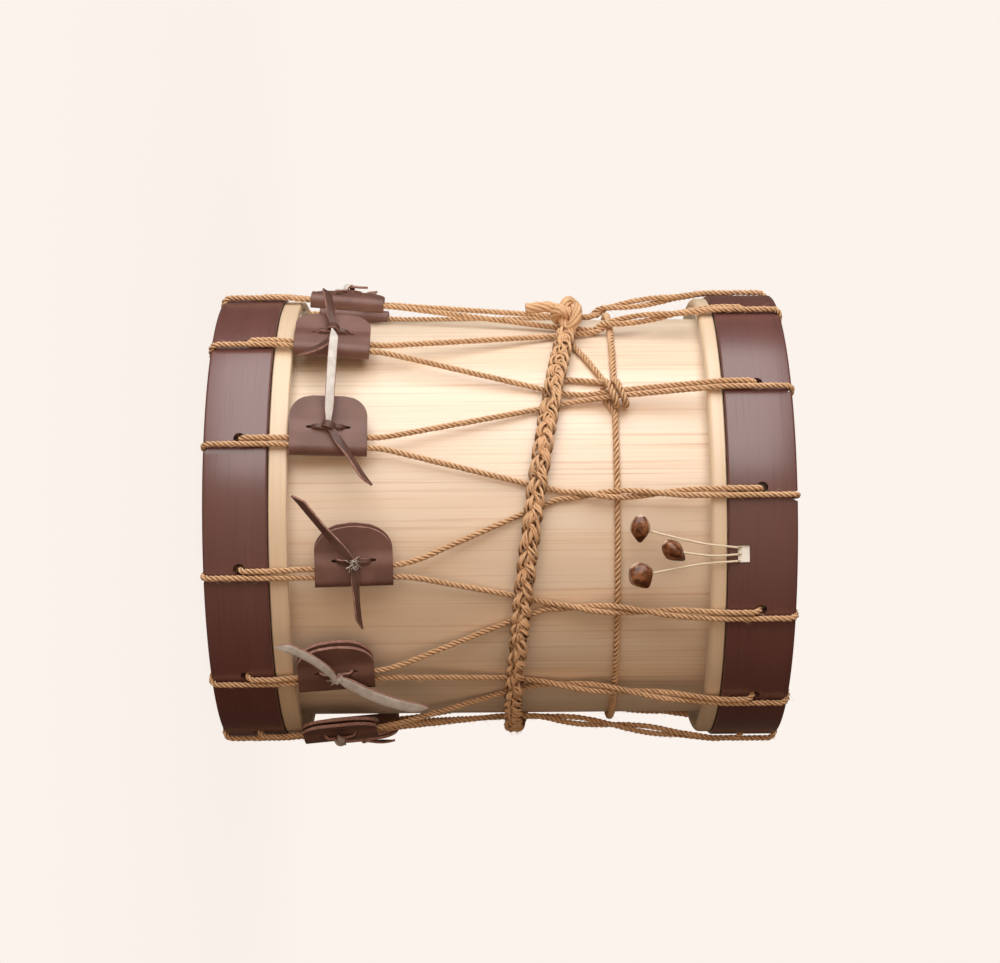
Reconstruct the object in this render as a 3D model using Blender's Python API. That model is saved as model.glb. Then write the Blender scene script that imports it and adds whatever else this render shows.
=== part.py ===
"""Rope-tensioned tabor: wooden shell, two rawhide heads, laced counterhoops and leather tension ears.

The drum stands on +Z with its axis through the origin. Angles run round the axis from -Y (the front, where
the rattle window is) towards +X. Lengths are in metres, angles in degrees where the name says so.
"""
import math

import bmesh
import bpy
import numpy as np
from mathutils import Matrix, Vector
from mathutils.bvhtree import BVHTree

# Fits
FIT = 0.0003
ROPE_CLEARANCE = 0.0005
SEGMENTS = 48
GENTLE_BEND_DEG = 20.0

# Shell and heads
SHELL_RADIUS = 0.1163
SHELL_WALL = 0.005
SKIN = 0.0008
HEAD_RECESS = 0.012

# Tension rope
ROPE_D = 0.0042
ROPE_BEND = 0.0042
ROPE_SIDES = 6
PAIR_GAP = 0.0005
FOOT_CUT = ROPE_D / 10

# Counterhoops
DRUM_LENGTH = 0.3194
HOOP_WALL = 0.0055
ROPE_CHANNEL = 0.0071
LOWER_HOOP_WIDTH = 0.0348
UPPER_HOOP_WIDTH = 0.0373
HOOP_EDGE_ROUND = 0.0012
LOWER_HOLE_INSET = 0.0194
UPPER_HOLE_INSET = 0.0190
HOLE_CLEARANCE = 0.001
DRILL_SIDES = 8

# Flesh hoops
FLESH_STEP = 0.0015
FLESH_WALL = 0.0045
LOWER_FLESH_WIDTH = 0.0099
UPPER_FLESH_WIDTH = 0.0084
LOWER_FLESH_CHAMFER = 0.001
UPPER_FLESH_CHAMFER = 0.003
LOWER_FLESH_SEAM = 0.0006
UPPER_FLESH_SEAM = 0.0013

# Lacing pattern: even places round each hoop, and how far each hole strays, as both were marked out by hand
LACING_POINTS = 12
LOWER_LACING_DEG = 12.3
LOWER_STRAYS_DEG = (0.9, 0.6, 0.0, 0.4, -0.5, 0.3, -0.4, 0.5, -0.3, 1.5, 0.2, -0.7)
UPPER_LACING_DEG = -5.7
UPPER_STRAYS_DEG = (0.4, 0.1, -2.5, -3.9, -3.6, -2.3, -0.4, 1.6, 3.2, 4.0, 3.6, 3.1)
PAIR_SPREAD_IN_EAR = 0.012

# Leather ears, their places above the lower flesh hoop and their travel up the ropes
EAR_LENGTH = 0.042
EAR_HEIGHT = 0.0335
EAR_CORNER = 0.014
EAR_CORNER_ALONG = 0.0175
LEATHER = 0.0018
POCKET_CLEARANCE = 0.0004
FLAP_CLOSE = 0.009
FLAP_SPLAY = 0.0006
EAR_TRAVEL = 0.008
EAR_OFFSETS = (0.0147, 0.0027, 0.0008, 0.010, 0.004, 0.012, 0.007, 0.009, 0.005, 0.0057, 0.0008, 0.0011)

# Thongs that tie the ears
LACE_TAIL = 0.040
LACE_RISE = 0.001
LACE_WIDTH = 0.0052
LACE_NECK_WIDTH = 0.0036
LACE_TIP_WIDTH = 0.0016
LACE_THICKNESS = 0.0016
LACE_BUNCH = 0.0026
LACE_SLIT_SPAN = 0.019
SLIT_CLEARANCE = 0.0004
KNOT_STEP = 0.0023

# Girdle cord and braided belt
GIRDLE_HEIGHT = 0.2233
GIRDLE_D = 0.0044
GIRDLE_TURNS = 2
GIRDLE_PITCH = 0.005
GIRDLE_PAIR_DEG = -32.6
HITCH_STEPS = 10
BELT_BELOW_GIRDLE = 0.0386
BELT_TILT = 0.0185
BELT_LOW_DEG = 67.0
BELT_PULL = 0.003
BELT_PULL_DEG = 30.0
BELT_WIDTH = 0.011
BELT_THICKNESS = 0.0058
BELT_SIDES = 8
BELT_TO_MERGE = 0.014
MERGE_TO_GIRDLE = 0.009
BELT_KNOT_DEG = -62.0
BELT_KNOT_LENGTH = 0.024
BELT_KNOT_WIDTH = 0.018
BELT_KNOT_HEIGHT = 0.015
BELT_KNOT_NECK = 0.0063
BELT_KNOT_LUMPS = 3
BELT_KNOT_LUMP = 0.0008
BELT_KNOT_RINGS = 9
BELT_KNOT_SIDES = 10
TIE_D = 0.004
TIE_BEND = 0.004
TIE_BELT_DEGS = (-54.0, -39.5)
TIE_STEPS = 4

# Rattle window, strings and nuts
WINDOW_DEG = 9.4
WINDOW_HEIGHT = 0.0066
WINDOW_WIDTH = 0.0096
WINDOW_LIP = 0.0049
STRING_D = 0.0014
STRING_PITCH = 0.0037
STRING_SIDES = 8
HITCH_D = 0.0022
NUT_WIDTHS = (0.0105, 0.0105, 0.0135)
NUT_LENGTH = 0.0155
NUT_LOBE = 0.12
NUT_TAPER = 0.16
NUT_DROPS = (0.0524, 0.0343, 0.0521)
NUT_SHIFTS = (-0.0108, -0.0022, 0.0075)
NUT_TURNS_DEG = (82.0, -38.0, 12.0)

# Radii that follow from the stack of shell, skin, rope channel and hoop
COLLAR_IN = SHELL_RADIUS + FIT
COLLAR_OUT = COLLAR_IN + SKIN
HOOP_IN = COLLAR_OUT + ROPE_CHANNEL
HOOP_OUT = HOOP_IN + HOOP_WALL
FLESH_OUT = HOOP_OUT - FLESH_STEP
FLESH_IN = FLESH_OUT - FLESH_WALL
ROPE_OUTSIDE = HOOP_OUT + ROPE_CLEARANCE + ROPE_D / 2
ROPE_INSIDE = HOOP_IN - ROPE_CHANNEL / 2
ROPE_AT_BELT = SHELL_RADIUS + ROPE_CLEARANCE + ROPE_D / 2
GIRDLE_RADIUS = SHELL_RADIUS + FIT + GIRDLE_D / 2
HITCH_REACH = GIRDLE_D / 2 + 2 * ROPE_CLEARANCE + ROPE_D / 2
ROPE_AT_GIRDLE = GIRDLE_RADIUS + HITCH_REACH
BELT_RADIUS = ROPE_AT_BELT + ROPE_D / 2 + ROPE_CLEARANCE + BELT_THICKNESS / 2
PAIR_HALF = (ROPE_D + PAIR_GAP) / 2
LOWER_EDGE = ROPE_D / 2 - FOOT_CUT
UPPER_EDGE = LOWER_EDGE + DRUM_LENGTH
GIRDLE_Z = LOWER_EDGE + GIRDLE_HEIGHT
BELT_Z = GIRDLE_Z - BELT_BELOW_GIRDLE
HOOP_TOP = LOWER_EDGE + LOWER_HOOP_WIDTH
EAR_BASE = HOOP_TOP + LOWER_FLESH_SEAM + LOWER_FLESH_WIDTH
ROPE_SLOPE = (ROPE_OUTSIDE - ROPE_AT_BELT) / (BELT_Z - HOOP_TOP)


class Hoops:
    """Sizes of the counterhoop and the flesh hoop at one end of the drum."""

    def __init__(self, width, hole_inset, flesh_width, flesh_chamfer, flesh_seam):
        self.width = width
        self.hole_inset = hole_inset
        self.flesh_width = flesh_width
        self.flesh_chamfer = flesh_chamfer
        self.flesh_start = width + flesh_seam


class DrumEnd:
    """One end of the drum: its hoop edge, which way is inward, its hoops and its lacing angles."""

    def __init__(self, name, edge, inward, hoops, angles):
        self.name = name
        self.edge = edge
        self.inward = inward
        self.hoops = hoops
        self.hoop_width = hoops.width
        self.hole_inset = hoops.hole_inset
        self.angles = angles

    def z(self, depth):
        """Height of a point that lies depth inward from the hoop's outer edge."""
        return self.edge + self.inward * depth


def lacing_angles(first_deg, strays_deg):
    step = 360 / LACING_POINTS
    return [math.radians(first_deg + step * k + stray) for k, stray in enumerate(strays_deg)]


LOWER_HOOPS = Hoops(LOWER_HOOP_WIDTH, LOWER_HOLE_INSET, LOWER_FLESH_WIDTH, LOWER_FLESH_CHAMFER, LOWER_FLESH_SEAM)
UPPER_HOOPS = Hoops(UPPER_HOOP_WIDTH, UPPER_HOLE_INSET, UPPER_FLESH_WIDTH, UPPER_FLESH_CHAMFER, UPPER_FLESH_SEAM)
LOWER = DrumEnd("lower", LOWER_EDGE, 1, LOWER_HOOPS, lacing_angles(LOWER_LACING_DEG, LOWER_STRAYS_DEG))
UPPER = DrumEnd("upper", UPPER_EDGE, -1, UPPER_HOOPS, lacing_angles(UPPER_LACING_DEG, UPPER_STRAYS_DEG))


def polar(radius, angle, z):
    return Vector((radius * math.sin(angle), -radius * math.cos(angle), z))


def material(name, colour, roughness):
    made = bpy.data.materials.new(name)
    made.use_nodes = True
    shader = made.node_tree.nodes["Principled BSDF"]
    shader.inputs["Base Color"].default_value = (*colour, 1.0)
    shader.inputs["Roughness"].default_value = roughness
    shader.inputs["Metallic"].default_value = 0.0
    return made


def add_object(name, mesh, finish, parent=None, smooth_deg=35):
    mesh.name = name
    mesh.shade_smooth()
    mesh.set_sharp_from_angle(angle=math.radians(smooth_deg))
    mesh.materials.append(finish)
    made = bpy.data.objects.new(name, mesh)
    made.parent = parent
    bpy.context.collection.objects.link(made)
    return made


def mesh_from(shape):
    bmesh.ops.recalc_face_normals(shape, faces=shape.faces)
    mesh = bpy.data.meshes.new("shape")
    shape.to_mesh(mesh)
    shape.free()
    return mesh


def turned(profile):
    """Spin a closed outline of (radius, z) points round the drum's axis."""
    shape = bmesh.new()
    corners = [shape.verts.new((radius, 0, z)) for radius, z in profile]
    edges = [shape.edges.new((a, b)) for a, b in zip(corners, corners[1:] + corners[:1])]
    bmesh.ops.spin(
        shape, geom=corners + edges, cent=(0, 0, 0), axis=(0, 0, 1),
        angle=2 * math.pi, steps=SEGMENTS, use_merge=True,
    )
    bmesh.ops.remove_doubles(shape, verts=shape.verts, dist=1e-6)
    return mesh_from(shape)


def swept(rings):
    """Skin a row of equal rings of points and close it with flat ends."""
    shape = bmesh.new()
    rows = [[shape.verts.new(point) for point in ring] for ring in rings]
    count = len(rows[0])
    for row, following in zip(rows, rows[1:]):
        for k in range(count):
            n = (k + 1) % count
            shape.faces.new((row[k], row[n], following[n], following[k]))
    shape.faces.new(rows[0])
    shape.faces.new(rows[-1])
    return mesh_from(shape)


def tangents(points):
    """Directions of a path at its points, each the mean of the steps that meet there."""
    steps = np.diff(np.array(points), axis=0)
    ahead = np.vstack([steps, steps[-1:]])
    behind = np.vstack([steps[:1], steps])
    ahead = ahead / np.linalg.norm(ahead, axis=1)[:, None]
    behind = behind / np.linalg.norm(behind, axis=1)[:, None]
    mean = ahead + behind
    return mean / np.linalg.norm(mean, axis=1)[:, None]


def tube(points, diameter, sides):
    """A round cord along points, its section carried from point to point without twist."""
    along = tangents(points)
    across = Vector(along[0]).orthogonal().normalized()
    rings = []
    for point, direction in zip(points, along):
        direction = Vector(direction)
        across = (across - direction * across.dot(direction)).normalized()
        other = direction.cross(across)
        turns = [2 * math.pi * k / sides for k in range(sides)]
        ring = [across * math.cos(t) + other * math.sin(t) for t in turns]
        rings.append([Vector(point) + spoke * (diameter / 2) for spoke in ring])
    return swept(rings)


def rounded(points, bend, steps=2):
    """Replace each corner of a route by an arc of the given radius, or a smaller one where runs are short."""
    route = [Vector(points[0])]
    for before, corner, after in zip(points, points[1:], points[2:]):
        corner = Vector(corner)
        back = Vector(before) - corner
        ahead = Vector(after) - corner
        half = back.angle(ahead) / 2
        if math.pi - 2 * half < math.radians(GENTLE_BEND_DEG):
            route.append(corner)
            continue
        reach = min(bend / math.tan(half), 0.49 * back.length, 0.49 * ahead.length)
        start = corner + back.normalized() * reach
        end = corner + ahead.normalized() * reach
        centre = corner + (back.normalized() + ahead.normalized()).normalized() * (reach / math.cos(half))
        spoke = start - centre
        turn = spoke.rotation_difference(end - centre)
        axis, angle = turn.to_axis_angle()
        for k in range(steps + 1):
            swing = Matrix.Rotation(angle * k / steps, 3, axis)
            route.append(centre + swing @ spoke)
    route.append(Vector(points[-1]))
    return route


def cutter(name, mesh):
    made = bpy.data.objects.new(name, mesh)
    bpy.context.collection.objects.link(made)
    made.hide_render = True
    made.display_type = "WIRE"
    return made


def subtract(target, tool):
    cut = target.modifiers.new(tool.name, "BOOLEAN")
    cut.operation = "DIFFERENCE"
    cut.solver = "EXACT"
    cut.object = tool


def radial_frame(angle, z):
    """A frame at the drum's axis whose X is tangential, Y runs inward and Z is up."""
    return Matrix.Translation((0, 0, z)) @ Matrix.Rotation(angle, 4, "Z")


def side_angle(end, k, side):
    """Angle of one rope of a pair on the outside of a hoop."""
    return end.angles[k] + side * PAIR_HALF / ROPE_OUTSIDE


def build_shell(finish):
    bottom = LOWER.z(HEAD_RECESS) + SKIN + FIT
    top = UPPER.z(HEAD_RECESS) - SKIN - FIT
    inner = SHELL_RADIUS - SHELL_WALL
    profile = [(inner, bottom), (SHELL_RADIUS, bottom), (SHELL_RADIUS, top), (inner, top)]
    return add_object("shell", turned(profile), finish)


def build_head(end, finish):
    """A disc of skin with a collar down the shell that flares out to line the flesh hoop."""
    below_hole = end.hole_inset + ROPE_D
    ring_start = end.hoops.flesh_start
    ring_end = ring_start + end.hoops.flesh_width
    lining = FLESH_IN - FIT
    outline = [
        (0, HEAD_RECESS),
        (COLLAR_OUT, HEAD_RECESS),
        (COLLAR_OUT, below_hole),
        (lining, ring_start),
        (lining, ring_end),
        (lining - SKIN, ring_end),
        (lining - SKIN, ring_start + SKIN / 2),
        (COLLAR_IN, below_hole + SKIN / 2),
        (COLLAR_IN, HEAD_RECESS + SKIN),
        (0, HEAD_RECESS + SKIN),
    ]
    mesh = turned([(radius, end.z(depth)) for radius, depth in outline])
    return add_object(f"{end.name}_head_skin", mesh, finish)


def build_flesh_hoop(end, finish):
    start = end.hoops.flesh_start
    stop = start + end.hoops.flesh_width
    chamfer = end.hoops.flesh_chamfer
    outline = [
        (FLESH_IN, start),
        (FLESH_OUT, start),
        (FLESH_OUT, stop - chamfer),
        (FLESH_OUT - chamfer, stop),
        (FLESH_IN, stop),
    ]
    mesh = turned([(radius, end.z(depth)) for radius, depth in outline])
    return add_object(f"{end.name}_flesh_hoop", mesh, finish)


def radial_drill(shape, angle, z):
    """Add a rod that clears the rope and pierces the hoop's wall along a radius."""
    radius = (ROPE_D / 2 + HOLE_CLEARANCE) / math.cos(math.pi / DRILL_SIDES)
    middle = (HOOP_IN + HOOP_OUT) / 2
    stand = Matrix.Translation((0, -middle, 0)) @ Matrix.Rotation(math.pi / 2, 4, "X")
    bmesh.ops.create_cone(
        shape, cap_ends=True, segments=DRILL_SIDES, radius1=radius, radius2=radius, depth=2 * HOOP_WALL,
        matrix=radial_frame(angle, z) @ stand,
    )


def window_floor(end):
    """Height of the lip that the rattle strings hang over."""
    return end.z(end.hoop_width - WINDOW_LIP)


def build_counterhoop(end, finish, window):
    """A bent wooden hoop with rope holes, and saddles in its outer edge where the rope turns over it."""
    e = HOOP_EDGE_ROUND
    w = end.hoop_width
    outline = [
        (HOOP_IN, e), (HOOP_IN + e, 0), (HOOP_OUT - e, 0), (HOOP_OUT, e),
        (HOOP_OUT, w - e / 2), (HOOP_OUT - e / 2, w), (HOOP_IN, w),
    ]
    hoop = add_object(
        f"{end.name}_counterhoop", turned([(radius, end.z(depth)) for radius, depth in outline]), finish
    )
    drills = bmesh.new()
    for k in range(LACING_POINTS):
        radial_drill(drills, side_angle(end, k, -1), end.z(end.hole_inset))
        radial_drill(drills, side_angle(end, k, 1), end.edge)
    if window:
        middle = (HOOP_IN + HOOP_OUT) / 2
        size = Matrix.Diagonal((WINDOW_WIDTH, 2 * HOOP_WALL, WINDOW_HEIGHT, 1))
        place = radial_frame(math.radians(WINDOW_DEG), window_floor(end) + WINDOW_HEIGHT / 2)
        bmesh.ops.create_cube(drills, size=1, matrix=place @ Matrix.Translation((0, -middle, 0)) @ size)
    subtract(hoop, cutter(f"{end.name}_hoop_drills", mesh_from(drills)))
    return hoop


def belt_height(angle):
    """The belt hangs askew, so its height varies once round the drum, and its knot pulls it up a little."""
    away = math.remainder(angle - math.radians(BELT_KNOT_DEG), 2 * math.pi) / math.radians(BELT_PULL_DEG)
    askew = BELT_TILT * math.cos(angle - math.radians(BELT_LOW_DEG))
    return BELT_Z - askew + BELT_PULL * math.exp(-away ** 2)


def rope_radius_below_belt(z):
    return ROPE_OUTSIDE - ROPE_SLOPE * (z - HOOP_TOP)


def ear_bottom(k):
    return EAR_BASE + EAR_OFFSETS[k]


def ear_reach(k):
    """Height of an ear's far end at the top of its travel, past which its two ropes part."""
    return ear_bottom(k) + EAR_LENGTH + EAR_TRAVEL + FIT


def pair_half_at(z):
    """Half the spacing of a rope pair between the lower hoop and the ear's reach."""
    return PAIR_HALF + PAIR_SPREAD_IN_EAR * (z - HOOP_TOP)


def rope_leg(lower_k, upper_k, side):
    """Points of one rope from the lower hoop up to the upper hoop; side is its side of the ear."""
    low = LOWER.angles[lower_k]
    high = UPPER.angles[upper_k]
    high += 2 * math.pi * round((low - high) / (2 * math.pi))
    part = ear_reach(lower_k)
    part_radius = rope_radius_below_belt(part)
    part_angle = low + side * pair_half_at(part) / part_radius
    merge_angle = high - side * PAIR_HALF / ROPE_AT_BELT
    belt = belt_height((part_angle + 2 * merge_angle) / 3)
    under = belt - BELT_WIDTH / 2 - FIT
    merge = min(belt + BELT_TO_MERGE, GIRDLE_Z - MERGE_TO_GIRDLE)
    share = (under - part) / (merge - part)
    under_angle = part_angle + (merge_angle - part_angle) * share
    return [
        polar(ROPE_OUTSIDE, low + side * PAIR_HALF / ROPE_OUTSIDE, HOOP_TOP),
        polar(part_radius, part_angle, part),
        polar(ROPE_AT_BELT, under_angle, under),
        polar(ROPE_AT_BELT, merge_angle, merge),
        polar(ROPE_AT_GIRDLE, high - side * PAIR_HALF / ROPE_AT_GIRDLE, GIRDLE_Z),
        polar(ROPE_OUTSIDE, high - side * PAIR_HALF / ROPE_OUTSIDE, UPPER.z(UPPER.hoop_width)),
    ]


def hole_turn(end, k):
    """Corners of a rope that comes along the hoop, enters its hole and stops behind the wall."""
    angle = side_angle(end, k, -1)
    z = end.z(end.hole_inset)
    return [polar(ROPE_OUTSIDE, angle, z), polar(ROPE_INSIDE, angle, z)]


def edge_turn(end, k):
    """Corners of a rope that comes from behind the wall, over the hoop's edge and out along the hoop."""
    angle = side_angle(end, k, 1)
    return [polar(ROPE_INSIDE, angle, end.edge), polar(ROPE_OUTSIDE, angle, end.edge)]


def behind_hoop(end, k, share):
    """A point behind the hoop's wall, on the way from the hole (share 0) to the edge (share 1)."""
    angle = end.angles[k] + (2 * share - 1) * PAIR_HALF / ROPE_OUTSIDE
    return polar(ROPE_INSIDE, angle, end.z(end.hole_inset * (1 - share)))


def build_lacing_run(k, finish):
    """The rope from behind upper point k, down to lower point k, and up to the next upper point."""
    following = (k + 1) % LACING_POINTS
    half_gap = FIT / UPPER.hole_inset
    corners = [behind_hoop(UPPER, k, 0.5 + half_gap), *edge_turn(UPPER, k)]
    corners += reversed(rope_leg(k, k, -1))
    corners += hole_turn(LOWER, k)
    corners += edge_turn(LOWER, k)
    corners += rope_leg(k, following, 1)
    corners += hole_turn(UPPER, following)
    corners.append(behind_hoop(UPPER, following, 0.5 - half_gap))
    shape = bmesh.new()
    shape.from_mesh(tube(rounded(corners, ROPE_BEND), ROPE_D, ROPE_SIDES))
    cut = bmesh.ops.bisect_plane(
        shape, geom=shape.verts[:] + shape.edges[:] + shape.faces[:],
        plane_co=(0, 0, 0), plane_no=(0, 0, -1), clear_outer=True,
    )
    rim = [piece for piece in cut["geom_cut"] if isinstance(piece, bmesh.types.BMEdge)]
    bmesh.ops.holes_fill(shape, edges=rim, sides=0)
    return add_object(f"lacing_run_{k + 1:02d}", mesh_from(shape), finish)


# Ear section, in a frame whose u runs to the flaps' free edges, w outward and t up the ropes
HIGHEST_REACH = max(ear_reach(k) for k in range(LACING_POINTS))
FOLD_CENTRE = pair_half_at(HIGHEST_REACH) + FIT
POCKET_HALF = ROPE_D / 2 + POCKET_CLEARANCE
FOLD_OUTSIDE = FOLD_CENTRE + POCKET_HALF + LEATHER
FREE_EDGE = EAR_HEIGHT - FOLD_OUTSIDE
SLIT_REACH = HIGHEST_REACH - EAR_LENGTH / 2 + LACE_SLIT_SPAN / 2 + LACE_THICKNESS
LACE_U = pair_half_at(SLIT_REACH) + ROPE_D / 2 + FIT + LACE_BUNCH / 2 + SLIT_CLEARANCE
FLAP_OPEN = POCKET_HALF + LEATHER / 2
FLAP_SHUT = LEATHER / 2 + FIT


def flap_level(u):
    """Height of the middle of the front flap above the ropes' plane: it closes past the ropes."""
    share = min(max((u - FOLD_CENTRE) / FLAP_CLOSE, 0), 1)
    eased = share * share * (3 - 2 * share)
    splay = FLAP_SPLAY * max(u - FOLD_CENTRE - FLAP_CLOSE, 0) / (FREE_EDGE - FOLD_CENTRE)
    return FLAP_OPEN + (FLAP_SHUT - FLAP_OPEN) * eased + splay


def flap_stations():
    """Distances along a flap where its section changes, from the pocket to the free edge."""
    closing = [FOLD_CENTRE + FLAP_CLOSE * k / 2 for k in range(3)]
    corner_start = FREE_EDGE - EAR_CORNER
    corner = [corner_start + EAR_CORNER * math.sin(math.pi / 2 * k / 4) for k in range(1, 5)]
    return sorted({round(u, 7) for u in [-FOLD_CENTRE, *closing, *corner]})


def corner_inset(u):
    """How far the rounded corner draws the leather's ends in, at a distance u along the flap."""
    past = max(u - (FREE_EDGE - EAR_CORNER), 0) / EAR_CORNER
    return EAR_CORNER_ALONG * (1 - math.sqrt(max(1 - past ** 2, 0)))


def ear_mesh():
    """A strip of leather folded round the rope pair, with round corners and two lace slits."""
    stations = flap_stations()
    front = [(u, flap_level(u)) for u in reversed(stations)]
    back = [(u, -flap_level(u)) for u in stations]
    turns = [math.pi * (0.5 + k / 4) for k in range(1, 4)]
    fold = [(-FOLD_CENTRE + FLAP_OPEN * math.cos(t), FLAP_OPEN * math.sin(t)) for t in turns]
    middle = front + fold + back
    section = np.array([(u, w, 0) for u, w in middle])
    along = tangents(section)
    rings = []
    for (u, w), direction in zip(middle, along):
        inset = corner_inset(u)
        normal = Vector((-direction[1], direction[0], 0)) * (LEATHER / 2)
        place = Vector((u, w, 0))
        low = Vector((0, 0, inset))
        high = Vector((0, 0, EAR_LENGTH - inset))
        rings.append([place - normal + low, place + normal + low, place + normal + high, place - normal + high])
    return swept(rings)


def slit_tool():
    """Two square punches through both flaps where the lace passes."""
    tool = bmesh.new()
    wide = LACE_BUNCH + 2 * SLIT_CLEARANCE
    deep = LACE_THICKNESS + 2 * SLIT_CLEARANCE
    for side in (-1, 1):
        place = Matrix.Translation((LACE_U, 0, EAR_LENGTH / 2 + side * LACE_SLIT_SPAN / 2))
        size = Matrix.Diagonal((wide, 4 * FLAP_OPEN, deep, 1))
        bmesh.ops.create_cube(tool, size=1, matrix=place @ size)
    return cutter("ear_slit_punch", mesh_from(tool))


def ear_frame(k):
    """Frame of ear k: u tangential to the free edges, w outward, t along its rope pair."""
    angle = LOWER.angles[k]
    bottom = ear_bottom(k)
    outward = polar(1, angle, 0)
    along = (Vector((0, 0, 1)) - outward * ROPE_SLOPE).normalized()
    across = -Vector((math.cos(angle), math.sin(angle), 0))
    normal = along.cross(across)
    frame = Matrix((across, normal, along)).transposed().to_4x4()
    frame.translation = polar(rope_radius_below_belt(bottom), angle, bottom)
    return frame


def punched_ear():
    """The mesh that all the ears share, with its lace slits cut."""
    pattern = bpy.data.objects.new("ear_pattern", ear_mesh())
    bpy.context.collection.objects.link(pattern)
    punch = slit_tool()
    subtract(pattern, punch)
    view = bpy.context.evaluated_depsgraph_get()
    shape = bmesh.new()
    shape.from_mesh(pattern.evaluated_get(view).data)
    bpy.data.objects.remove(pattern)
    bpy.data.objects.remove(punch)
    # The notched faces are split here, in the ear's own frame, so that all the ears stay alike
    bmesh.ops.triangulate(shape, faces=[face for face in shape.faces if len(face.verts) > 4])
    return mesh_from(shape)


def build_ears(leather, thong):
    """An ear on every rope pair of the lower hoop, each with its lace parented to it."""
    mesh = punched_ear()
    for k in range(LACING_POINTS):
        ear = add_object(f"tension_ear_{k + 1:02d}", mesh.copy(), leather)
        ear.matrix_world = ear_frame(k)
        build_lace(k, ear, thong)


class Tail:
    """A lace end: its heading in the ear's plane (0 up the ropes, 90 to the free edges), length and rise.

    Length and rise are shares of a plain end's, and curl is how far the heading has turned at the tip.
    """

    def __init__(self, heading_deg, length, rise, curl_deg=0):
        self.heading = math.radians(heading_deg)
        self.length = length * LACE_TAIL
        self.rise = rise * LACE_RISE
        self.curl = math.radians(curl_deg)


# Lace ends, ear by ear round the drum from the front: the under end, then the over end
LACE_TAILS = (
    (Tail(-88, 0.92, 3), Tail(131, 1.20, 4)),
    (Tail(-33, 1.42, 4), Tail(112, 1.10, 4, 50)),
    (Tail(-90, 0.30, 2), Tail(86, 0.35, 1)),
    (Tail(-130, 0.40, 2), Tail(-20, 0.45, 3)),
    (Tail(-80, 1.00, 3), Tail(60, 0.95, 3)),
    (Tail(-45, 1.10, 3), Tail(130, 1.05, 4)),
    (Tail(-85, 0.95, 3), Tail(110, 1.10, 5)),
    (Tail(-55, 1.05, 3), Tail(95, 1.00, 3)),
    (Tail(-70, 0.95, 3), Tail(125, 1.10, 4)),
    (Tail(-130, 0.40, 2), Tail(-20, 0.45, 3)),
    (Tail(-80, 0.85, 3, -90), Tail(100, 0.95, 4)),
    (Tail(-57, 1.03, 3), Tail(89, 1.48, 6)),
)


def lace_stations(k):
    """Place, width direction and width of the lace along its length, in the ear's frame."""
    under, over = LACE_TAILS[k]
    middle = EAR_LENGTH / 2
    half = LACE_SLIT_SPAN / 2
    front = flap_level(LACE_U - LACE_BUNCH / 2) + LEATHER / 2 + FIT + LACE_THICKNESS / 2
    level_under = front + KNOT_STEP / 2
    level_over = level_under + KNOT_STEP
    flat = Vector((1, 0, 0))
    skin = front - LACE_THICKNESS / 2
    lead = LACE_THICKNESS * 1.5
    loop = [
        (front, half - lead), (skin, half), (-skin, half), (-front, half - lead),
        (-front, lead - half), (-skin, -half), (skin, -half), (front, lead - half),
    ]
    through = [(Vector((LACE_U, level, middle + along)), flat, LACE_BUNCH) for level, along in loop]
    first = tail_stations(under, level_under, Vector((LACE_U, 0, middle)))
    second = tail_stations(over, level_over, Vector((LACE_U, 0, middle)))
    return list(reversed(first)) + through + second


def tail_stations(tail, level, start):
    """Stations of one lace end from the knot to its pointed tip."""
    stations = []
    shares = (0.0, 0.15, 0.5, 0.85, 1.0)
    place = start.copy()
    last = 0.0
    for share in shares:
        heading = tail.heading + tail.curl * share
        step = (share - last) * tail.length
        place = place + Vector((math.sin(heading), 0, math.cos(heading))) * step
        last = share
        across = Vector((math.cos(heading), 0, -math.sin(heading)))
        rise = tail.rise * math.sin(math.pi * 0.6 * share)
        width = {shares[0]: LACE_NECK_WIDTH, shares[-1]: LACE_TIP_WIDTH}.get(share, LACE_WIDTH)
        stations.append((Vector((place.x, level + rise, place.z)), across, width))
    return stations


def wrapped(frame, place, radius):
    """Bend a point of the ear's frame round the drum's curve, by its distance from the lace's slits."""
    turn = -(place.x - LACE_U) / radius
    flat = frame @ Vector((LACE_U, place.y, place.z))
    return frame.inverted() @ (Matrix.Rotation(turn, 3, "Z") @ flat)


def build_lace(k, ear, finish):
    """A thong through both slits of its ear, crossed in front, with two pointed ends."""
    frame = ear_frame(k)
    radius = rope_radius_below_belt(ear_bottom(k)) + FLAP_OPEN
    stations = lace_stations(k)
    places = [place for place, _, _ in stations]
    along = tangents(places)
    rings = []
    last = None
    for (place, across, width), direction in zip(stations, along):
        direction = Vector(direction)
        side = (across - direction * across.dot(direction)).normalized()
        if last is not None and side.dot(last) < 0:
            side = -side
        last = side
        normal = direction.cross(side)
        corners = []
        for s, n in ((-1, -1), (1, -1), (1, 1), (-1, 1)):
            corner = place + side * (s * width / 2) + normal * (n * LACE_THICKNESS / 2)
            corners.append(wrapped(frame, corner, radius))
        rings.append(corners)
    return add_object(f"ear_lace_{k + 1:02d}", swept(rings), finish, parent=ear)


def girdle_pair_angle():
    """Angle of the rope pair that the girdle is hitched on: the one nearest to its stated place."""
    target = math.radians(GIRDLE_PAIR_DEG)
    away = [math.remainder(angle - target, 2 * math.pi) for angle in UPPER.angles]
    return target + min(away, key=abs)


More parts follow.
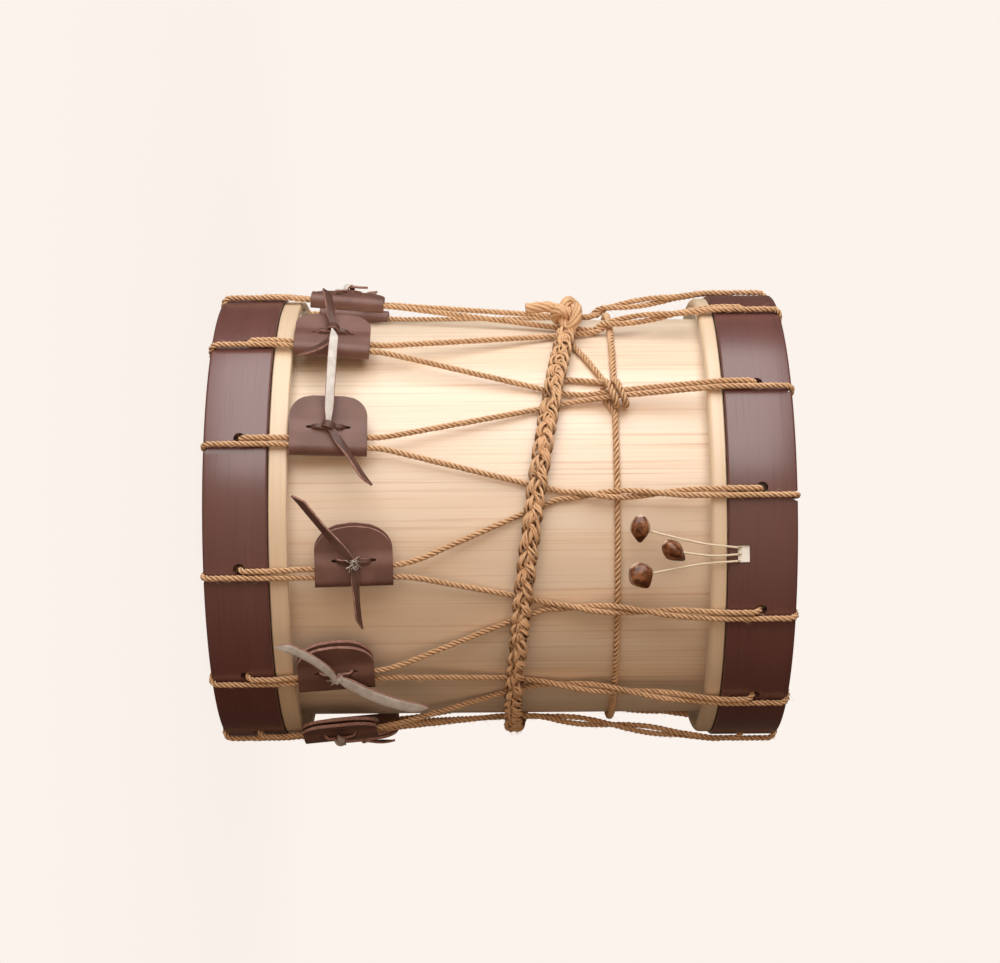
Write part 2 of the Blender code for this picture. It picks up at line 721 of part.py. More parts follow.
def build_girdle(finish):
    """A cord hitched twice round one rope pair, then once round the shell under all the other pairs."""
    pair = girdle_pair_angle()
    reach = PAIR_HALF + HITCH_REACH
    rise = (ROPE_OUTSIDE - ROPE_AT_GIRDLE) / (UPPER.z(UPPER.hoop_width) - GIRDLE_Z)
    points = []
    for n in range(GIRDLE_TURNS * HITCH_STEPS + 1):
        turn = 2 * math.pi * n / HITCH_STEPS
        above = GIRDLE_PITCH * (GIRDLE_TURNS - n / HITCH_STEPS)
        radius = ROPE_AT_GIRDLE + rise * above - HITCH_REACH * math.cos(turn)
        sideways = HITCH_REACH * math.sin(turn) + PAIR_HALF * max(-1, min(1, 2 * math.sin(turn)))
        points.append(polar(radius, pair + sideways / radius, GIRDLE_Z + above))
    lap = math.radians(360) - (reach + GIRDLE_D + 2 * FIT) / GIRDLE_RADIUS
    lead = (reach + GIRDLE_D / 2) / GIRDLE_RADIUS
    for n in range(SEGMENTS + 1):
        angle = pair + lead + (lap - lead) * n / SEGMENTS
        points.append(polar(GIRDLE_RADIUS, angle, GIRDLE_Z))
    gap = least_gap(points, GIRDLE_D, skip=HITCH_STEPS - 2)
    print(f"girdle cord: least gap to itself {gap * 1000:.2f} mm")
    return add_object("girdle_cord", tube(points, GIRDLE_D, ROPE_SIDES), finish)


def least_gap(points, diameter, skip):
    """Least clear distance between turns of one cord, over points that are more than skip apart."""
    path = np.array(points)
    away = np.linalg.norm(path[:, None] - path[None], axis=2)
    index = np.arange(len(path))
    far = np.abs(index[:, None] - index[None]) > skip
    return away[far].min() - diameter


def oval(centre, outward, upward, height, width, sides):
    turns = [2 * math.pi * k / sides for k in range(sides)]
    return [
        centre + outward * (height / 2 * math.cos(t)) + upward * (width / 2 * math.sin(t)) for t in turns
    ]


def build_belt(finish):
    """A flat plaited rope laid round all the rope legs, open where its ends are knotted."""
    knot = math.radians(BELT_KNOT_DEG)
    half = (BELT_KNOT_LENGTH / 2 + FIT) / BELT_RADIUS
    up = Vector((0, 0, 1))
    rings = []
    for n in range(SEGMENTS + 1):
        angle = knot + half + (2 * math.pi - 2 * half) * n / SEGMENTS
        centre = polar(BELT_RADIUS, angle, belt_height(angle))
        rings.append(oval(centre, polar(1, angle, 0), up, BELT_THICKNESS, BELT_WIDTH, BELT_SIDES))
    return add_object("braided_belt", swept(rings), finish)


def build_belt_knot(finish):
    """The lump where the belt's two ends are tied, swelling from the belt's thickness."""
    angle = math.radians(BELT_KNOT_DEG)
    outward = polar(1, angle, 0)
    forward = Vector((math.cos(angle), math.sin(angle), 0))
    inner = ROPE_AT_BELT + ROPE_D / 2 + ROPE_CLEARANCE
    base = polar(inner, angle, belt_height(angle))
    up = Vector((0, 0, 1))
    rings = []
    for n in range(BELT_KNOT_RINGS + 1):
        share = n / BELT_KNOT_RINGS
        swell = math.sin(math.pi * share) ** (2 / 3)
        lump = BELT_KNOT_LUMP * math.sin(2 * math.pi * BELT_KNOT_LUMPS * share)
        height = BELT_KNOT_NECK + (BELT_KNOT_HEIGHT - BELT_KNOT_NECK) * swell + lump
        width = height * BELT_KNOT_WIDTH / BELT_KNOT_HEIGHT
        place = base + forward * (BELT_KNOT_LENGTH * (share - 0.5)) + outward * (height / 2)
        rings.append(oval(place, outward, up, height, width, BELT_KNOT_SIDES))
    return add_object("belt_knot", swept(rings), finish)


def build_belt_tie(finish):
    """A cord on the shell that goes from the belt's upper side to the girdle's hitch and back, in a V."""
    pair = girdle_pair_angle()
    radius = SHELL_RADIUS + FIT + TIE_D / 2
    hitch = PAIR_HALF + HITCH_REACH + GIRDLE_D / 2 + TIE_D / 2 + 2 * FIT
    tip_angle = pair - hitch / radius
    tip_z = GIRDLE_Z - GIRDLE_D / 2 - TIE_D / 2 - 2 * FIT
    legs = []
    for angle in (math.radians(place) for place in TIE_BELT_DEGS):
        start_z = belt_height(angle) + BELT_WIDTH / 2 + TIE_D / 2 + FIT
        shares = [n / TIE_STEPS for n in range(TIE_STEPS)]
        legs.append([
            polar(radius, angle + (tip_angle - angle) * share, start_z + (tip_z - start_z) * share)
            for share in shares
        ])
    route = [*legs[0], polar(radius, tip_angle, tip_z), *reversed(legs[1])]
    return add_object("belt_tie", tube(rounded(route, TIE_BEND, steps=4), TIE_D, STRING_SIDES), finish)


def string_top(index):
    """Where a rattle string leaves the window's lip."""
    shift = STRING_PITCH * (index - 1)
    radius = HOOP_OUT + ROPE_CLEARANCE + STRING_D / 2
    return polar(radius, math.radians(WINDOW_DEG) + shift / radius, window_floor(UPPER))


def nut_centre(index):
    """Nuts hang straight below the lip as seen from the side, and spread a little along it."""
    angle = math.radians(WINDOW_DEG)
    aside = Vector((math.cos(angle), math.sin(angle), 0))
    return string_top(index) + aside * NUT_SHIFTS[index] - Vector((0, 0, NUT_DROPS[index]))


def nut_frame(index):
    """Frame of a nut: its long axis lies aslant to its string, as its hole was drilled."""
    up = (string_top(index) - nut_centre(index)).normalized()
    outward = polar(1, math.radians(WINDOW_DEG), 0)
    axis = Matrix.Rotation(math.radians(NUT_TURNS_DEG[index]), 3, outward) @ up
    across = outward.cross(axis).normalized()
    frame = Matrix((across, axis.cross(across), axis)).transposed().to_4x4()
    frame.translation = nut_centre(index)
    return frame


def nut_shape(index):
    """A three-ridged seed, blunt below and drawn in above."""
    shape = bmesh.new()
    bmesh.ops.create_uvsphere(shape, u_segments=12, v_segments=7, radius=1)
    half = NUT_WIDTHS[index] / 2
    for vert in shape.verts:
        x, y, z = vert.co
        around = math.atan2(y, x)
        lobe = 1 + NUT_LOBE * math.cos(3 * around)
        taper = 1 - NUT_TAPER * z
        vert.co = (x * lobe * taper * half, y * lobe * taper * half, z * NUT_LENGTH / 2)
    return shape


def build_rattles(string_finish, nut_finish):
    """Strings and their nuts, each on a pivot at the window's lip that it swings out from."""
    for index in range(len(NUT_DROPS)):
        top = string_top(index)
        pivot = bpy.data.objects.new(f"rattle_pivot_{index + 1}", None)
        pivot.location = top
        bpy.context.collection.objects.link(pivot)
        frame = nut_frame(index)
        shape = nut_shape(index)
        to_lip = top - nut_centre(index)
        heading = frame.to_3x3().inverted() @ to_lip.normalized()
        reach = BVHTree.FromBMesh(shape).ray_cast(Vector((0, 0, 0)), heading)[3]
        bottom = to_lip.normalized() * (reach + FIT) - to_lip
        route = [bottom * share for share in (0, 0.33, 0.67, 1)]
        add_object(f"rattle_string_{index + 1}", tube(route, STRING_D, STRING_SIDES), string_finish, pivot)
        nut = add_object(f"rattle_nut_{index + 1}", mesh_from(shape), nut_finish, pivot)
        nut.matrix_local = Matrix.Translation(-top) @ frame


def build_string_hitch(finish):
    """The bight that the three strings are tied with, lying on the window's lip."""
    angle = math.radians(WINDOW_DEG)
    radius = (HOOP_IN + HOOP_OUT) / 2
    half = (WINDOW_WIDTH / 2 - HITCH_D / 2) / radius
    z = window_floor(UPPER) + FIT + HITCH_D / 2
    points = [polar(radius, angle + half * share, z) for share in (-1, -0.5, 0, 0.5, 1)]
    return add_object("string_hitch", tube(points, HITCH_D, STRING_SIDES), finish)


def main():
    for existing in list(bpy.data.objects):
        bpy.data.objects.remove(existing)
    pine = material("pale_pine", (0.79, 0.58, 0.36), 0.55)
    ring_wood = material("pale_ring_wood", (0.76, 0.56, 0.34), 0.55)
    stained = material("brown_stained_wood", (0.115, 0.042, 0.032), 0.4)
    rawhide = material("rawhide", (0.86, 0.84, 0.76), 0.6)
    jute = material("jute_rope", (0.48, 0.26, 0.1), 0.85)
    leather = material("brown_leather", (0.147, 0.058, 0.04), 0.55)
    thong = material("brown_thong", (0.13, 0.05, 0.036), 0.6)
    twine = material("pale_twine", (0.62, 0.5, 0.36), 0.8)
    seed = material("seed_nut", (0.19, 0.062, 0.026), 0.3)

    build_shell(pine)
    for end in (LOWER, UPPER):
        build_head(end, rawhide)
        build_flesh_hoop(end, ring_wood)
        build_counterhoop(end, stained, window=end is UPPER)
    for k in range(LACING_POINTS):
        build_lacing_run(k, jute)
    build_ears(leather, thong)
    build_girdle(jute)
    build_belt(jute)
    build_belt_knot(jute)
    build_belt_tie(jute)
    build_rattles(twine, seed)
    build_string_hitch(twine)


main()
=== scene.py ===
"""Looks of a small rope-tensioned drum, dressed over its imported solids.

The drum stands on +Z with its axis through the origin. Angles run round the axis from -Y, the front, where
the rattle window is, towards +X. Lengths are in metres unless a name ends in _mm.
"""

import logging
import math
import random
from dataclasses import dataclass
from enum import Enum
from typing import Optional, Sequence, Union

import bmesh
import bpy
import numpy as np
from mathutils import Matrix, Vector, noise


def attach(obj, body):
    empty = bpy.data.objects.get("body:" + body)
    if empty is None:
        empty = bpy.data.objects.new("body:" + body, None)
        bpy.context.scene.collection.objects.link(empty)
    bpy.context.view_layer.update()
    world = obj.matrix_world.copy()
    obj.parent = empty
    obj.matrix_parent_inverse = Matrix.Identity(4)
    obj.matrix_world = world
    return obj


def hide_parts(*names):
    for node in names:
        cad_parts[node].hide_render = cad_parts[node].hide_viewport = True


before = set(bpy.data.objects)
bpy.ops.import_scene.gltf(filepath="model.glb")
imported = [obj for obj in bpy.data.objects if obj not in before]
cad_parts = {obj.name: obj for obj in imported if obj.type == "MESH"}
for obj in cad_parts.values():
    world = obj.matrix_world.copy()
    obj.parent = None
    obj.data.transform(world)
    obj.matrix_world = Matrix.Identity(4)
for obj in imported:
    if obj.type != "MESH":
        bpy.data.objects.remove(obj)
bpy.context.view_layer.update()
LOG = logging.getLogger("drum")
TURN = 2 * math.pi
MM = 0.001
UP = Vector((0, 0, 1))
NOISE_ROW = 3.71
Shape = bmesh.types.BMesh


def polar(radius: float, angle: float, z: float) -> Vector:
    """A point from its radius, its angle round the drum from the front, and its height."""
    return Vector((radius * math.sin(angle), -radius * math.cos(angle), z))


def linear(hex_colour: str) -> tuple[float, float, float, float]:
    """Turn an sRGB hex colour into linear values with full alpha."""
    channels = [int(hex_colour[k:k + 2], 16) / 255 for k in (1, 3, 5)]
    curve = [c / 12.92 if c <= 0.04045 else ((c + 0.055) / 1.055) ** 2.4 for c in channels]
    return (*curve, 1.0)


def eased(value: float, low: float, high: float) -> float:
    """Smooth step from 0 at low to 1 at high."""
    share = min(max((value - low) / (high - low), 0.0), 1.0)
    return share * share * (3 - 2 * share)


def add_node(
    tree: bpy.types.NodeTree,
    kind: str,
    settings: Optional[dict] = None,
    links: Optional[dict] = None,
) -> bpy.types.Node:
    """Add one shader node with its settings and links.

    Args:
        tree: Node tree of a material or of the world.
        kind: Blender's type name of the node.
        settings: Values by name; a property of the node is set there, any other name is an input.
        links: Output sockets by the name or number of the input that they feed.

    Returns:
        The new node.
    """
    node = tree.nodes.new(kind)
    for name, value in (settings or {}).items():
        if isinstance(name, str) and hasattr(node, name):
            setattr(node, name, value)
        else:
            node.inputs[name].default_value = value
    for name, socket in (links or {}).items():
        tree.links.new(socket, node.inputs[name])
    return node


class Grain(Enum):
    """Which way the grain of a wooden piece runs."""

    ALONG_DRUM = "along"
    ROUND_DRUM = "round"


class Face(Enum):
    """The side of a thong that looks outward."""

    GRAIN = 0
    FLESH = 1


class Shader:
    """A new material whose tree ends in one Principled shader."""

    def __init__(self, name: str, roughness: float, specular: float = 0.5) -> None:
        """Start a material.

        Args:
            name: The real material's name.
            roughness: Roughness all over the surface.
            specular: Specular level all over the surface.
        """
        self.material = bpy.data.materials.new(name)
        self.material.use_nodes = True
        self.tree = self.material.node_tree
        self.surface = self.tree.nodes["Principled BSDF"]
        self.surface.inputs["Roughness"].default_value = roughness
        self.surface.inputs["Specular IOR Level"].default_value = specular

    def node(
        self, kind: str, settings: Optional[dict] = None, links: Optional[dict] = None
    ) -> bpy.types.Node:
        """Add a node to this material's tree."""
        return add_node(self.tree, kind, settings, links)

    def feed(self, socket: str, source: bpy.types.NodeSocket) -> None:
        """Link a socket to the shader."""
        self.tree.links.new(source, self.surface.inputs[socket])


@dataclass(frozen=True)
class WoodFinish:
    """Wood with fine grain lines, broader bands of tone and, where it is stained, dark pores."""

    name: str
    pale: str
    line: str
    band: str
    grain: Grain
    line_mm: float
    streak_mm: float
    band_mm: float
    line_depth: float
    band_depth: float
    roughness: float
    pore: str = ""
    pore_mm: float = 0.5
    pore_depth: float = 0.6
    specular: float = 0.85
    relief_mm: float = 0.05
    relief_strength: float = 0.15
    # Levels of noise between which lines, bands and pores come in
    line_cut: tuple = (0.52, 0.74)
    band_cut: tuple = (0.4, 0.68)
    pore_cut: tuple = (0.62, 0.72)

    @staticmethod
    def per_metre(size_mm: float) -> float:
        """Noise scale at which a line of this size and its gap fill one period."""
        return 1 / (2 * size_mm * MM)

    def material(self) -> bpy.types.Material:
        """Make the wood's material on Object coordinates.

        Returns:
            The material.
        """
        shader = Shader(self.name, self.roughness, self.specular)
        squeeze = self.line_mm / self.streak_mm
        along = self.grain is Grain.ALONG_DRUM
        stretch = (1, 1, squeeze) if along else (squeeze, squeeze, 1)
        place = shader.node("ShaderNodeTexCoord")
        warp = shader.node(
            "ShaderNodeMapping", {"Scale": stretch}, {"Vector": place.outputs["Object"]}
        )
        fine = shader.node(
            "ShaderNodeTexNoise",
            {"Scale": self.per_metre(self.line_mm), "Detail": 3.0, "Roughness": 0.6},
            {"Vector": warp.outputs[0]},
        )
        lines = shader.node(
            "ShaderNodeMapRange",
            {"From Min": self.line_cut[0], "From Max": self.line_cut[1], "To Max": self.line_depth},
            {"Value": fine.outputs["Fac"]},
        )
        broad = shader.node(
            "ShaderNodeTexNoise", {"Scale": self.per_metre(self.band_mm), "Detail": 2.0},
            {"Vector": warp.outputs[0]},
        )
        bands = shader.node(
            "ShaderNodeMapRange",
            {"From Min": self.band_cut[0], "From Max": self.band_cut[1], "To Max": self.band_depth},
            {"Value": broad.outputs["Fac"]},
        )
        toned = shader.node(
            "ShaderNodeMix", {"data_type": "RGBA", 6: linear(self.pale), 7: linear(self.band)},
            {0: bands.outputs[0]},
        )
        lined = shader.node(
            "ShaderNodeMix", {"data_type": "RGBA", 7: linear(self.line)},
            {0: lines.outputs[0], 6: toned.outputs[2]},
        )
        colour = lined.outputs[2]
        if self.pore:
            pores = shader.node(
                "ShaderNodeTexNoise", {"Scale": self.per_metre(self.pore_mm), "Detail": 1.0},
                {"Vector": warp.outputs[0]},
            )
            open_pores = shader.node(
                "ShaderNodeMapRange",
                {"From Min": self.pore_cut[0], "From Max": self.pore_cut[1], "To Max": self.pore_depth},
                {"Value": pores.outputs["Fac"]},
            )
            pored = shader.node(
                "ShaderNodeMix", {"data_type": "RGBA", 7: linear(self.pore)},
                {0: open_pores.outputs[0], 6: colour},
            )
            colour = pored.outputs[2]
        relief = shader.node(
            "ShaderNodeBump", {"Strength": self.relief_strength, "Distance": self.relief_mm * MM},
            {"Height": fine.outputs["Fac"]},
        )
        shader.feed("Base Color", colour)
        shader.feed("Normal", relief.outputs[0])
        return shader.material


@dataclass(frozen=True)
class FibreFinish:
    """Twisted plant fibre: streaks along each yarn, painted shade in the lay's furrows, with loose pale
    hairs.
    """

    name: str
    pale: str
    dark: str
    furrow_shade: str
    fibre_mm: float
    streak_mm: float
    roughness: float = 0.88
    specular: float = 0.2
    slant: float = 0.3
    patch_mm: float = 18
    relief_mm: float = 0.15
    relief_strength: float = 0.5
    # Levels between which the fibres, the yarn's tone and the painted shade in its furrows come in
    fibre_cut: tuple = (0.36, 0.64)
    tone_cut: tuple = (0.25, 1.25)
    furrow_shade_cut: tuple = (0.45, 0.9)

    def material(self) -> bpy.types.Material:
        """Make the fibre's material on the yarns' own UV map, which is in metres.

        Returns:
            The material.
        """
        shader = Shader(self.name, self.roughness, self.specular)
        yarn = shader.node("ShaderNodeUVMap", {"uv_map": "UVMap"})
        warp = shader.node(
            "ShaderNodeMapping",
            {
                "Scale": (1 / (self.streak_mm * MM), 1 / (self.fibre_mm * MM), 1),
                "Rotation": (0, 0, self.slant),
            },
            {"Vector": yarn.outputs[0]},
        )
        fibres = shader.node(
            "ShaderNodeTexNoise", {"Scale": 1.0, "Detail": 3.0, "Roughness": 0.65},
            {"Vector": warp.outputs[0]},
        )
        streaks = shader.node(
            "ShaderNodeMapRange", {"From Min": self.fibre_cut[0], "From Max": self.fibre_cut[1]},
            {"Value": fibres.outputs["Fac"]},
        )
        place = shader.node("ShaderNodeTexCoord")
        patches = shader.node(
            "ShaderNodeTexNoise", {"Scale": 1 / (self.patch_mm * MM), "Detail": 1.0},
            {"Vector": place.outputs["Object"]},
        )
        tone = shader.node(
            "ShaderNodeMath", {"operation": "ADD", "use_clamp": True},
            {0: streaks.outputs[0], 1: patches.outputs["Fac"]},
        )
        level = shader.node(
            "ShaderNodeMapRange", {"From Min": self.tone_cut[0], "From Max": self.tone_cut[1]},
            {"Value": tone.outputs[0]},
        )
        fibre = shader.node(
            "ShaderNodeMix", {"data_type": "RGBA", 6: linear(self.dark), 7: linear(self.pale)},
            {0: level.outputs[0]},
        )
        # Painted shade: where a point lies low in the lay (the crown attribute), the fibre colour darkens
        # towards the furrow shade colour
        depth = shader.node("ShaderNodeAttribute", {"attribute_name": "crown"})
        crown = shader.node(
            "ShaderNodeMapRange", {"From Min": self.furrow_shade_cut[0], "From Max": self.furrow_shade_cut[1]},
            {"Value": depth.outputs["Fac"]},
        )
        colour = shader.node(
            "ShaderNodeMix", {"data_type": "RGBA", 6: linear(self.furrow_shade)},
            {0: crown.outputs[0], 7: fibre.outputs[2]},
        )
        relief = shader.node(
            "ShaderNodeBump", {"Strength": self.relief_strength, "Distance": self.relief_mm * MM},
            {"Height": fibres.outputs["Fac"]},
        )
        shader.feed("Base Color", colour.outputs[2])
        shader.feed("Normal", relief.outputs[0])
        return shader.material


@dataclass(frozen=True)
class HideFinish:
    """Leather or rawhide: cloudy tone, fine creases and a pebbled grain."""

    name: str
    base: str
    cloud: str
    cloud_mm: float
    grain_mm: float
    grain_depth_mm: float
    roughness: float
    specular: float = 0.4
    fibre: bool = False
    relief_strength: float = 0.5
    # Levels of noise between which the second tone comes in
    cloud_cut: tuple = (0.35, 0.65)

    def material(self) -> bpy.types.Material:
        """Make the hide's material on Object coordinates.

        Returns:
            The material.
        """
        shader = Shader(self.name, self.roughness, self.specular)
        place = shader.node("ShaderNodeTexCoord")
        clouds = shader.node(
            "ShaderNodeTexNoise", {"Scale": 1 / (self.cloud_mm * MM), "Detail": 3.0},
            {"Vector": place.outputs["Object"]},
        )
        if self.fibre:
            pebbles = shader.node(
                "ShaderNodeTexNoise",
                {"Scale": 1 / (self.grain_mm * MM), "Detail": 4.0, "Roughness": 0.75, "Distortion": 1.5},
                {"Vector": place.outputs["Object"]},
            )
            height = pebbles.outputs["Fac"]
        else:
            pebbles = shader.node(
                "ShaderNodeTexVoronoi",
                {"feature": "DISTANCE_TO_EDGE", "Scale": 1 / (self.grain_mm * MM)},
                {"Vector": place.outputs["Object"]},
            )
            height = pebbles.outputs["Distance"]
        drift = shader.node(
            "ShaderNodeMapRange", {"From Min": self.cloud_cut[0], "From Max": self.cloud_cut[1]},
            {"Value": clouds.outputs["Fac"]},
        )
        colour = shader.node(
            "ShaderNodeMix", {"data_type": "RGBA", 6: linear(self.base), 7: linear(self.cloud)},
            {0: drift.outputs[0]},
        )
        relief = shader.node(
            "ShaderNodeBump", {"Strength": self.relief_strength, "Distance": self.grain_depth_mm * MM},
            {"Height": height},
        )
        shader.feed("Base Color", colour.outputs[2])
        shader.feed("Normal", relief.outputs[0])
        return shader.material


@dataclass(frozen=True)
class SeedFinish:
    """A glossy seed coat, darker in its hollows and pale along its ridges."""

    name: str
    coat: str
    hollow: str
    ridge: str
    roughness: float = 0.22
    mottle_mm: float = 2.5
    ridge_depth: float = 0.8
    # Levels between which the coat's mottle and the ridges come in
    mottle_cut: tuple = (0.35, 0.65)
    ridge_cut: tuple = (0.3, 1.0)

    def material(self) -> bpy.types.Material:
        """Make the seed coat's material on the seed's own ridge attribute.

        Returns:
            The material.
        """
        shader = Shader(self.name, self.roughness)
        place = shader.node("ShaderNodeTexCoord")
        mottle = shader.node(
            "ShaderNodeTexNoise", {"Scale": 1 / (self.mottle_mm * MM), "Detail": 3.0},
            {"Vector": place.outputs["Object"]},
        )
        spread = shader.node(
            "ShaderNodeMapRange", {"From Min": self.mottle_cut[0], "From Max": self.mottle_cut[1]},
            {"Value": mottle.outputs["Fac"]},
        )
        coat = shader.node(
            "ShaderNodeMix", {"data_type": "RGBA", 6: linear(self.hollow), 7: linear(self.coat)},
            {0: spread.outputs[0]},
        )
        dark_end = shader.node("ShaderNodeAttribute", {"attribute_name": "tip"})
        shaded = shader.node(
            "ShaderNodeMix", {"data_type": "RGBA", 7: linear(self.hollow)},
            {0: dark_end.outputs["Fac"], 6: coat.outputs[2]},
        )
        height = shader.node("ShaderNodeAttribute", {"attribute_name": "crown"})
        crest = shader.node(
            "ShaderNodeMapRange",
            {"From Min": self.ridge_cut[0], "From Max": self.ridge_cut[1], "To Max": self.ridge_depth},
            {"Value": height.outputs["Fac"]},
        )
        colour = shader.node(
            "ShaderNodeMix", {"data_type": "RGBA", 7: linear(self.ridge)},
            {0: crest.outputs[0], 6: shaded.outputs[2]},
        )
        shader.feed("Base Color", colour.outputs[2])
        return shader.material


Finish = Union[WoodFinish, FibreFinish, HideFinish, SeedFinish]

# Planed pine: pale and satin, with thin darker lines of late wood that run the length of the shell.
PINE = WoodFinish(
    "planed_pine", pale="#F5E1C9", line="#D3A87F", band="#EDCEAC", grain=Grain.ALONG_DRUM,
    line_mm=0.8, streak_mm=80, band_mm=8, line_depth=0.62, band_depth=0.5, roughness=0.38,
)
# Steamed poplar strip: a shade darker than the shell, its grain bent round the drum with the strip.
POPLAR = WoodFinish(
    "bent_poplar", pale="#E9D1B3", line="#CBA57E", band="#E0C29D", grain=Grain.ROUND_DRUM,
    line_mm=0.9, streak_mm=60, band_mm=4, line_depth=0.4, band_depth=0.5, roughness=0.42,
)
# Ash strip under a red-brown stain: satin, with short dark pores round the hoop and a cloudy stain.
STAINED_ASH = WoodFinish(
    "red_brown_stained_ash", pale="#714A45", line="#5F3C39", band="#67423E", grain=Grain.ROUND_DRUM,
    line_mm=0.8, streak_mm=45, band_mm=9, line_depth=0.25, band_depth=0.6, roughness=0.3,
    pore="#5A3935", pore_mm=0.4,
)
# Jute: dull golden-brown bast fibre, streaky along the yarn, with painted shade where the strands meet. Its
# fibres are drawn coarser than real ones, so that they show.
JUTE = FibreFinish(
    "jute_rope", pale="#F3CBA3", dark="#BF9468", furrow_shade="#785130", fibre_mm=0.3, streak_mm=5.0
)
# Cotton twine: thin and pale, nearly plain at this distance, with fibres drawn coarse as well, and the same
# painted shade where its strands meet.
TWINE = FibreFinish(
    "cotton_twine", pale="#F0E3CC", dark="#D8C6A8", furrow_shade="#C4AE8A", fibre_mm=0.25, streak_mm=3.0,
    roughness=0.8,
)
# Rawhide: scraped, dried skin, cloudy off-white and almost smooth.
RAWHIDE = HideFinish(
    "scraped_rawhide", base="#F8F6F0", cloud="#EFEBE0", cloud_mm=28, grain_mm=1.6, grain_depth_mm=0.05,
    roughness=0.5,
)
# Veg-tanned cowhide, grain side: smooth red-brown with a low sheen.
COWHIDE = HideFinish(
    "brown_cowhide", base="#805C52", cloud="#715046", cloud_mm=14, grain_mm=0.9, grain_depth_mm=0.05,
    roughness=0.42,
)
# Thong leather, grain side: the same hide drawn darker than the ears, worn smooth; the darkness is painted
# shade for the thong ends, which hang turned from the light.
THONG_PAINTED_SHADE = HideFinish(
    "thong_hide_painted_shade", base="#66483F", cloud="#573B33", cloud_mm=10, grain_mm=0.8, grain_depth_mm=0.05,
    roughness=0.45,
)
# The same hide cut: a pale, pinkish, fibrous edge.
CUT_EDGE = HideFinish(
    "cut_hide_edge", base="#B08A7E", cloud="#936C60", cloud_mm=2.5, grain_mm=0.5, grain_depth_mm=0.1,
    roughness=0.8, specular=0.2, fibre=True,
)
# Flesh side of the hide: grey-white nap.
NAP = HideFinish(
    "flesh_side_nap", base="#DEDAD5", cloud="#C6C0B9", cloud_mm=6, grain_mm=0.6, grain_depth_mm=0.16,
    roughness=0.9, specular=0.15, fibre=True,
)
# Seed shell: hard, brown and polished by handling, with pale ridges and a pale scar at its round end.
SEED = SeedFinish("polished_seed_shell", coat="#95603F", hollow="#4E2A1A", ridge="#E6CDB2")


# Edges sharper than these angles stay sharp, on cords and seeds and on leather
CORD_DEG = 60.0
HIDE_DEG = 50.0


def meshed(name: str, shape: Shape) -> bpy.types.Mesh:
    """Move a shape into a new mesh."""
    mesh = bpy.data.meshes.new(name)
    shape.to_mesh(mesh)
    shape.free()
    return mesh


def placed(name: str, data: bpy.types.ID) -> bpy.types.Object:
    """Put a mesh, a lamp or a camera in the scene as a new object."""
    made = bpy.data.objects.new(name, data)
    bpy.context.scene.collection.objects.link(made)
    return made


class Workshop:
    """Makes each finish once and puts finished meshes on the drum's bodies."""

    def __init__(self) -> None:
        """Start with no material made."""
        self.made: dict[str, bpy.types.Material] = {}

    def material(self, finish: Finish) -> bpy.types.Material:
        """Return a finish's material, made on first use."""
        if finish.name not in self.made:
            self.made[finish.name] = finish.material()
        return self.made[finish.name]

    def piece(
        self,
        name: str,
        shape: Shape,
        finishes: Sequence[Finish],
        body: str,
        slot: str,
        nodes: Sequence[str],
        smooth_deg: float = 40.0,
    ) -> bpy.types.Object:
        """Turn a shape into a finished piece of the drum.

        Args:
            name: The piece's name.
            shape: The shape, which is freed.
            finishes: Finishes in the order of the shape's material numbers.
            body: The body that the piece rides on.
            slot: The record's material slot; not used.
            nodes: The solids that the piece stands for.
            smooth_deg: Edges sharper than this stay sharp.

        Returns:
            The piece's object.
        """
        mesh = meshed(name, shape)
        for finish in finishes:
            mesh.materials.append(self.material(finish))
        mesh.shade_smooth()
        mesh.set_sharp_from_angle(angle=math.radians(smooth_deg))
        made = placed(name, mesh)
        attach(made, body)
        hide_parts(*nodes)
        LOG.info("%s: %d faces on %s", name, len(mesh.polygons), body)
        return made


def carved(shape: Shape, tool: Shape) -> Shape:
    """Cut one closed shape out of another.

    Args:
        shape: The shape to cut, which is freed.
        tool: The cutter, which is freed.

    Returns:
        The cut shape.
    """
    stock = [placed("stock", meshed("stock", part)) for part in (shape, tool)]
    cut = stock[0].modifiers.new("cut", "BOOLEAN")
    cut.operation = "DIFFERENCE"
    cut.solver = "EXACT"
    cut.object = stock[1]
    view = bpy.context.evaluated_depsgraph_get()
    result = bmesh.new()
    result.from_mesh(stock[0].evaluated_get(view).to_mesh())
    for item in stock:
        mesh = item.data
        bpy.data.objects.remove(item)
        bpy.data.meshes.remove(mesh)
    return result


def turned(profile: Sequence[tuple[float, float]], steps: int, closed: bool = True) -> Shape:
    """Spin an outline of (radius, z) points round the drum's axis.

    Args:
        profile: The outline's corners.
        steps: Steps of a full turn.
        closed: Whether the last corner joins the first.

    Returns:
        The turned shape.
    """
    shape = bmesh.new()
    corners = [shape.verts.new((radius, 0, z)) for radius, z in profile]
    pairs = list(zip(corners, corners[1:]))
    if closed:
        pairs.append((corners[-1], corners[0]))
    edges = [shape.edges.new(pair) for pair in pairs]
    bmesh.ops.spin(
        shape, geom=corners + edges, cent=(0, 0, 0), axis=(0, 0, 1), angle=TURN, steps=steps, use_merge=True
    )
    bmesh.ops.remove_doubles(shape, verts=shape.verts, dist=1e-6)
    bmesh.ops.recalc_face_normals(shape, faces=shape.faces)
    return shape


def softened(shape: Shape, width: float, segments: int = 3, sharper_deg: float = 30.0) -> None:
    """Round every edge that is sharper than a given angle."""
    sharp = [edge for edge in shape.edges if edge.calc_face_angle(0.0) > math.radians(sharper_deg)]
    bmesh.ops.bevel(
        shape, geom=sharp, offset=width, offset_type="OFFSET", segments=segments, profile=0.5,
        affect="EDGES", material=-1, clamp_overlap=True,
    )


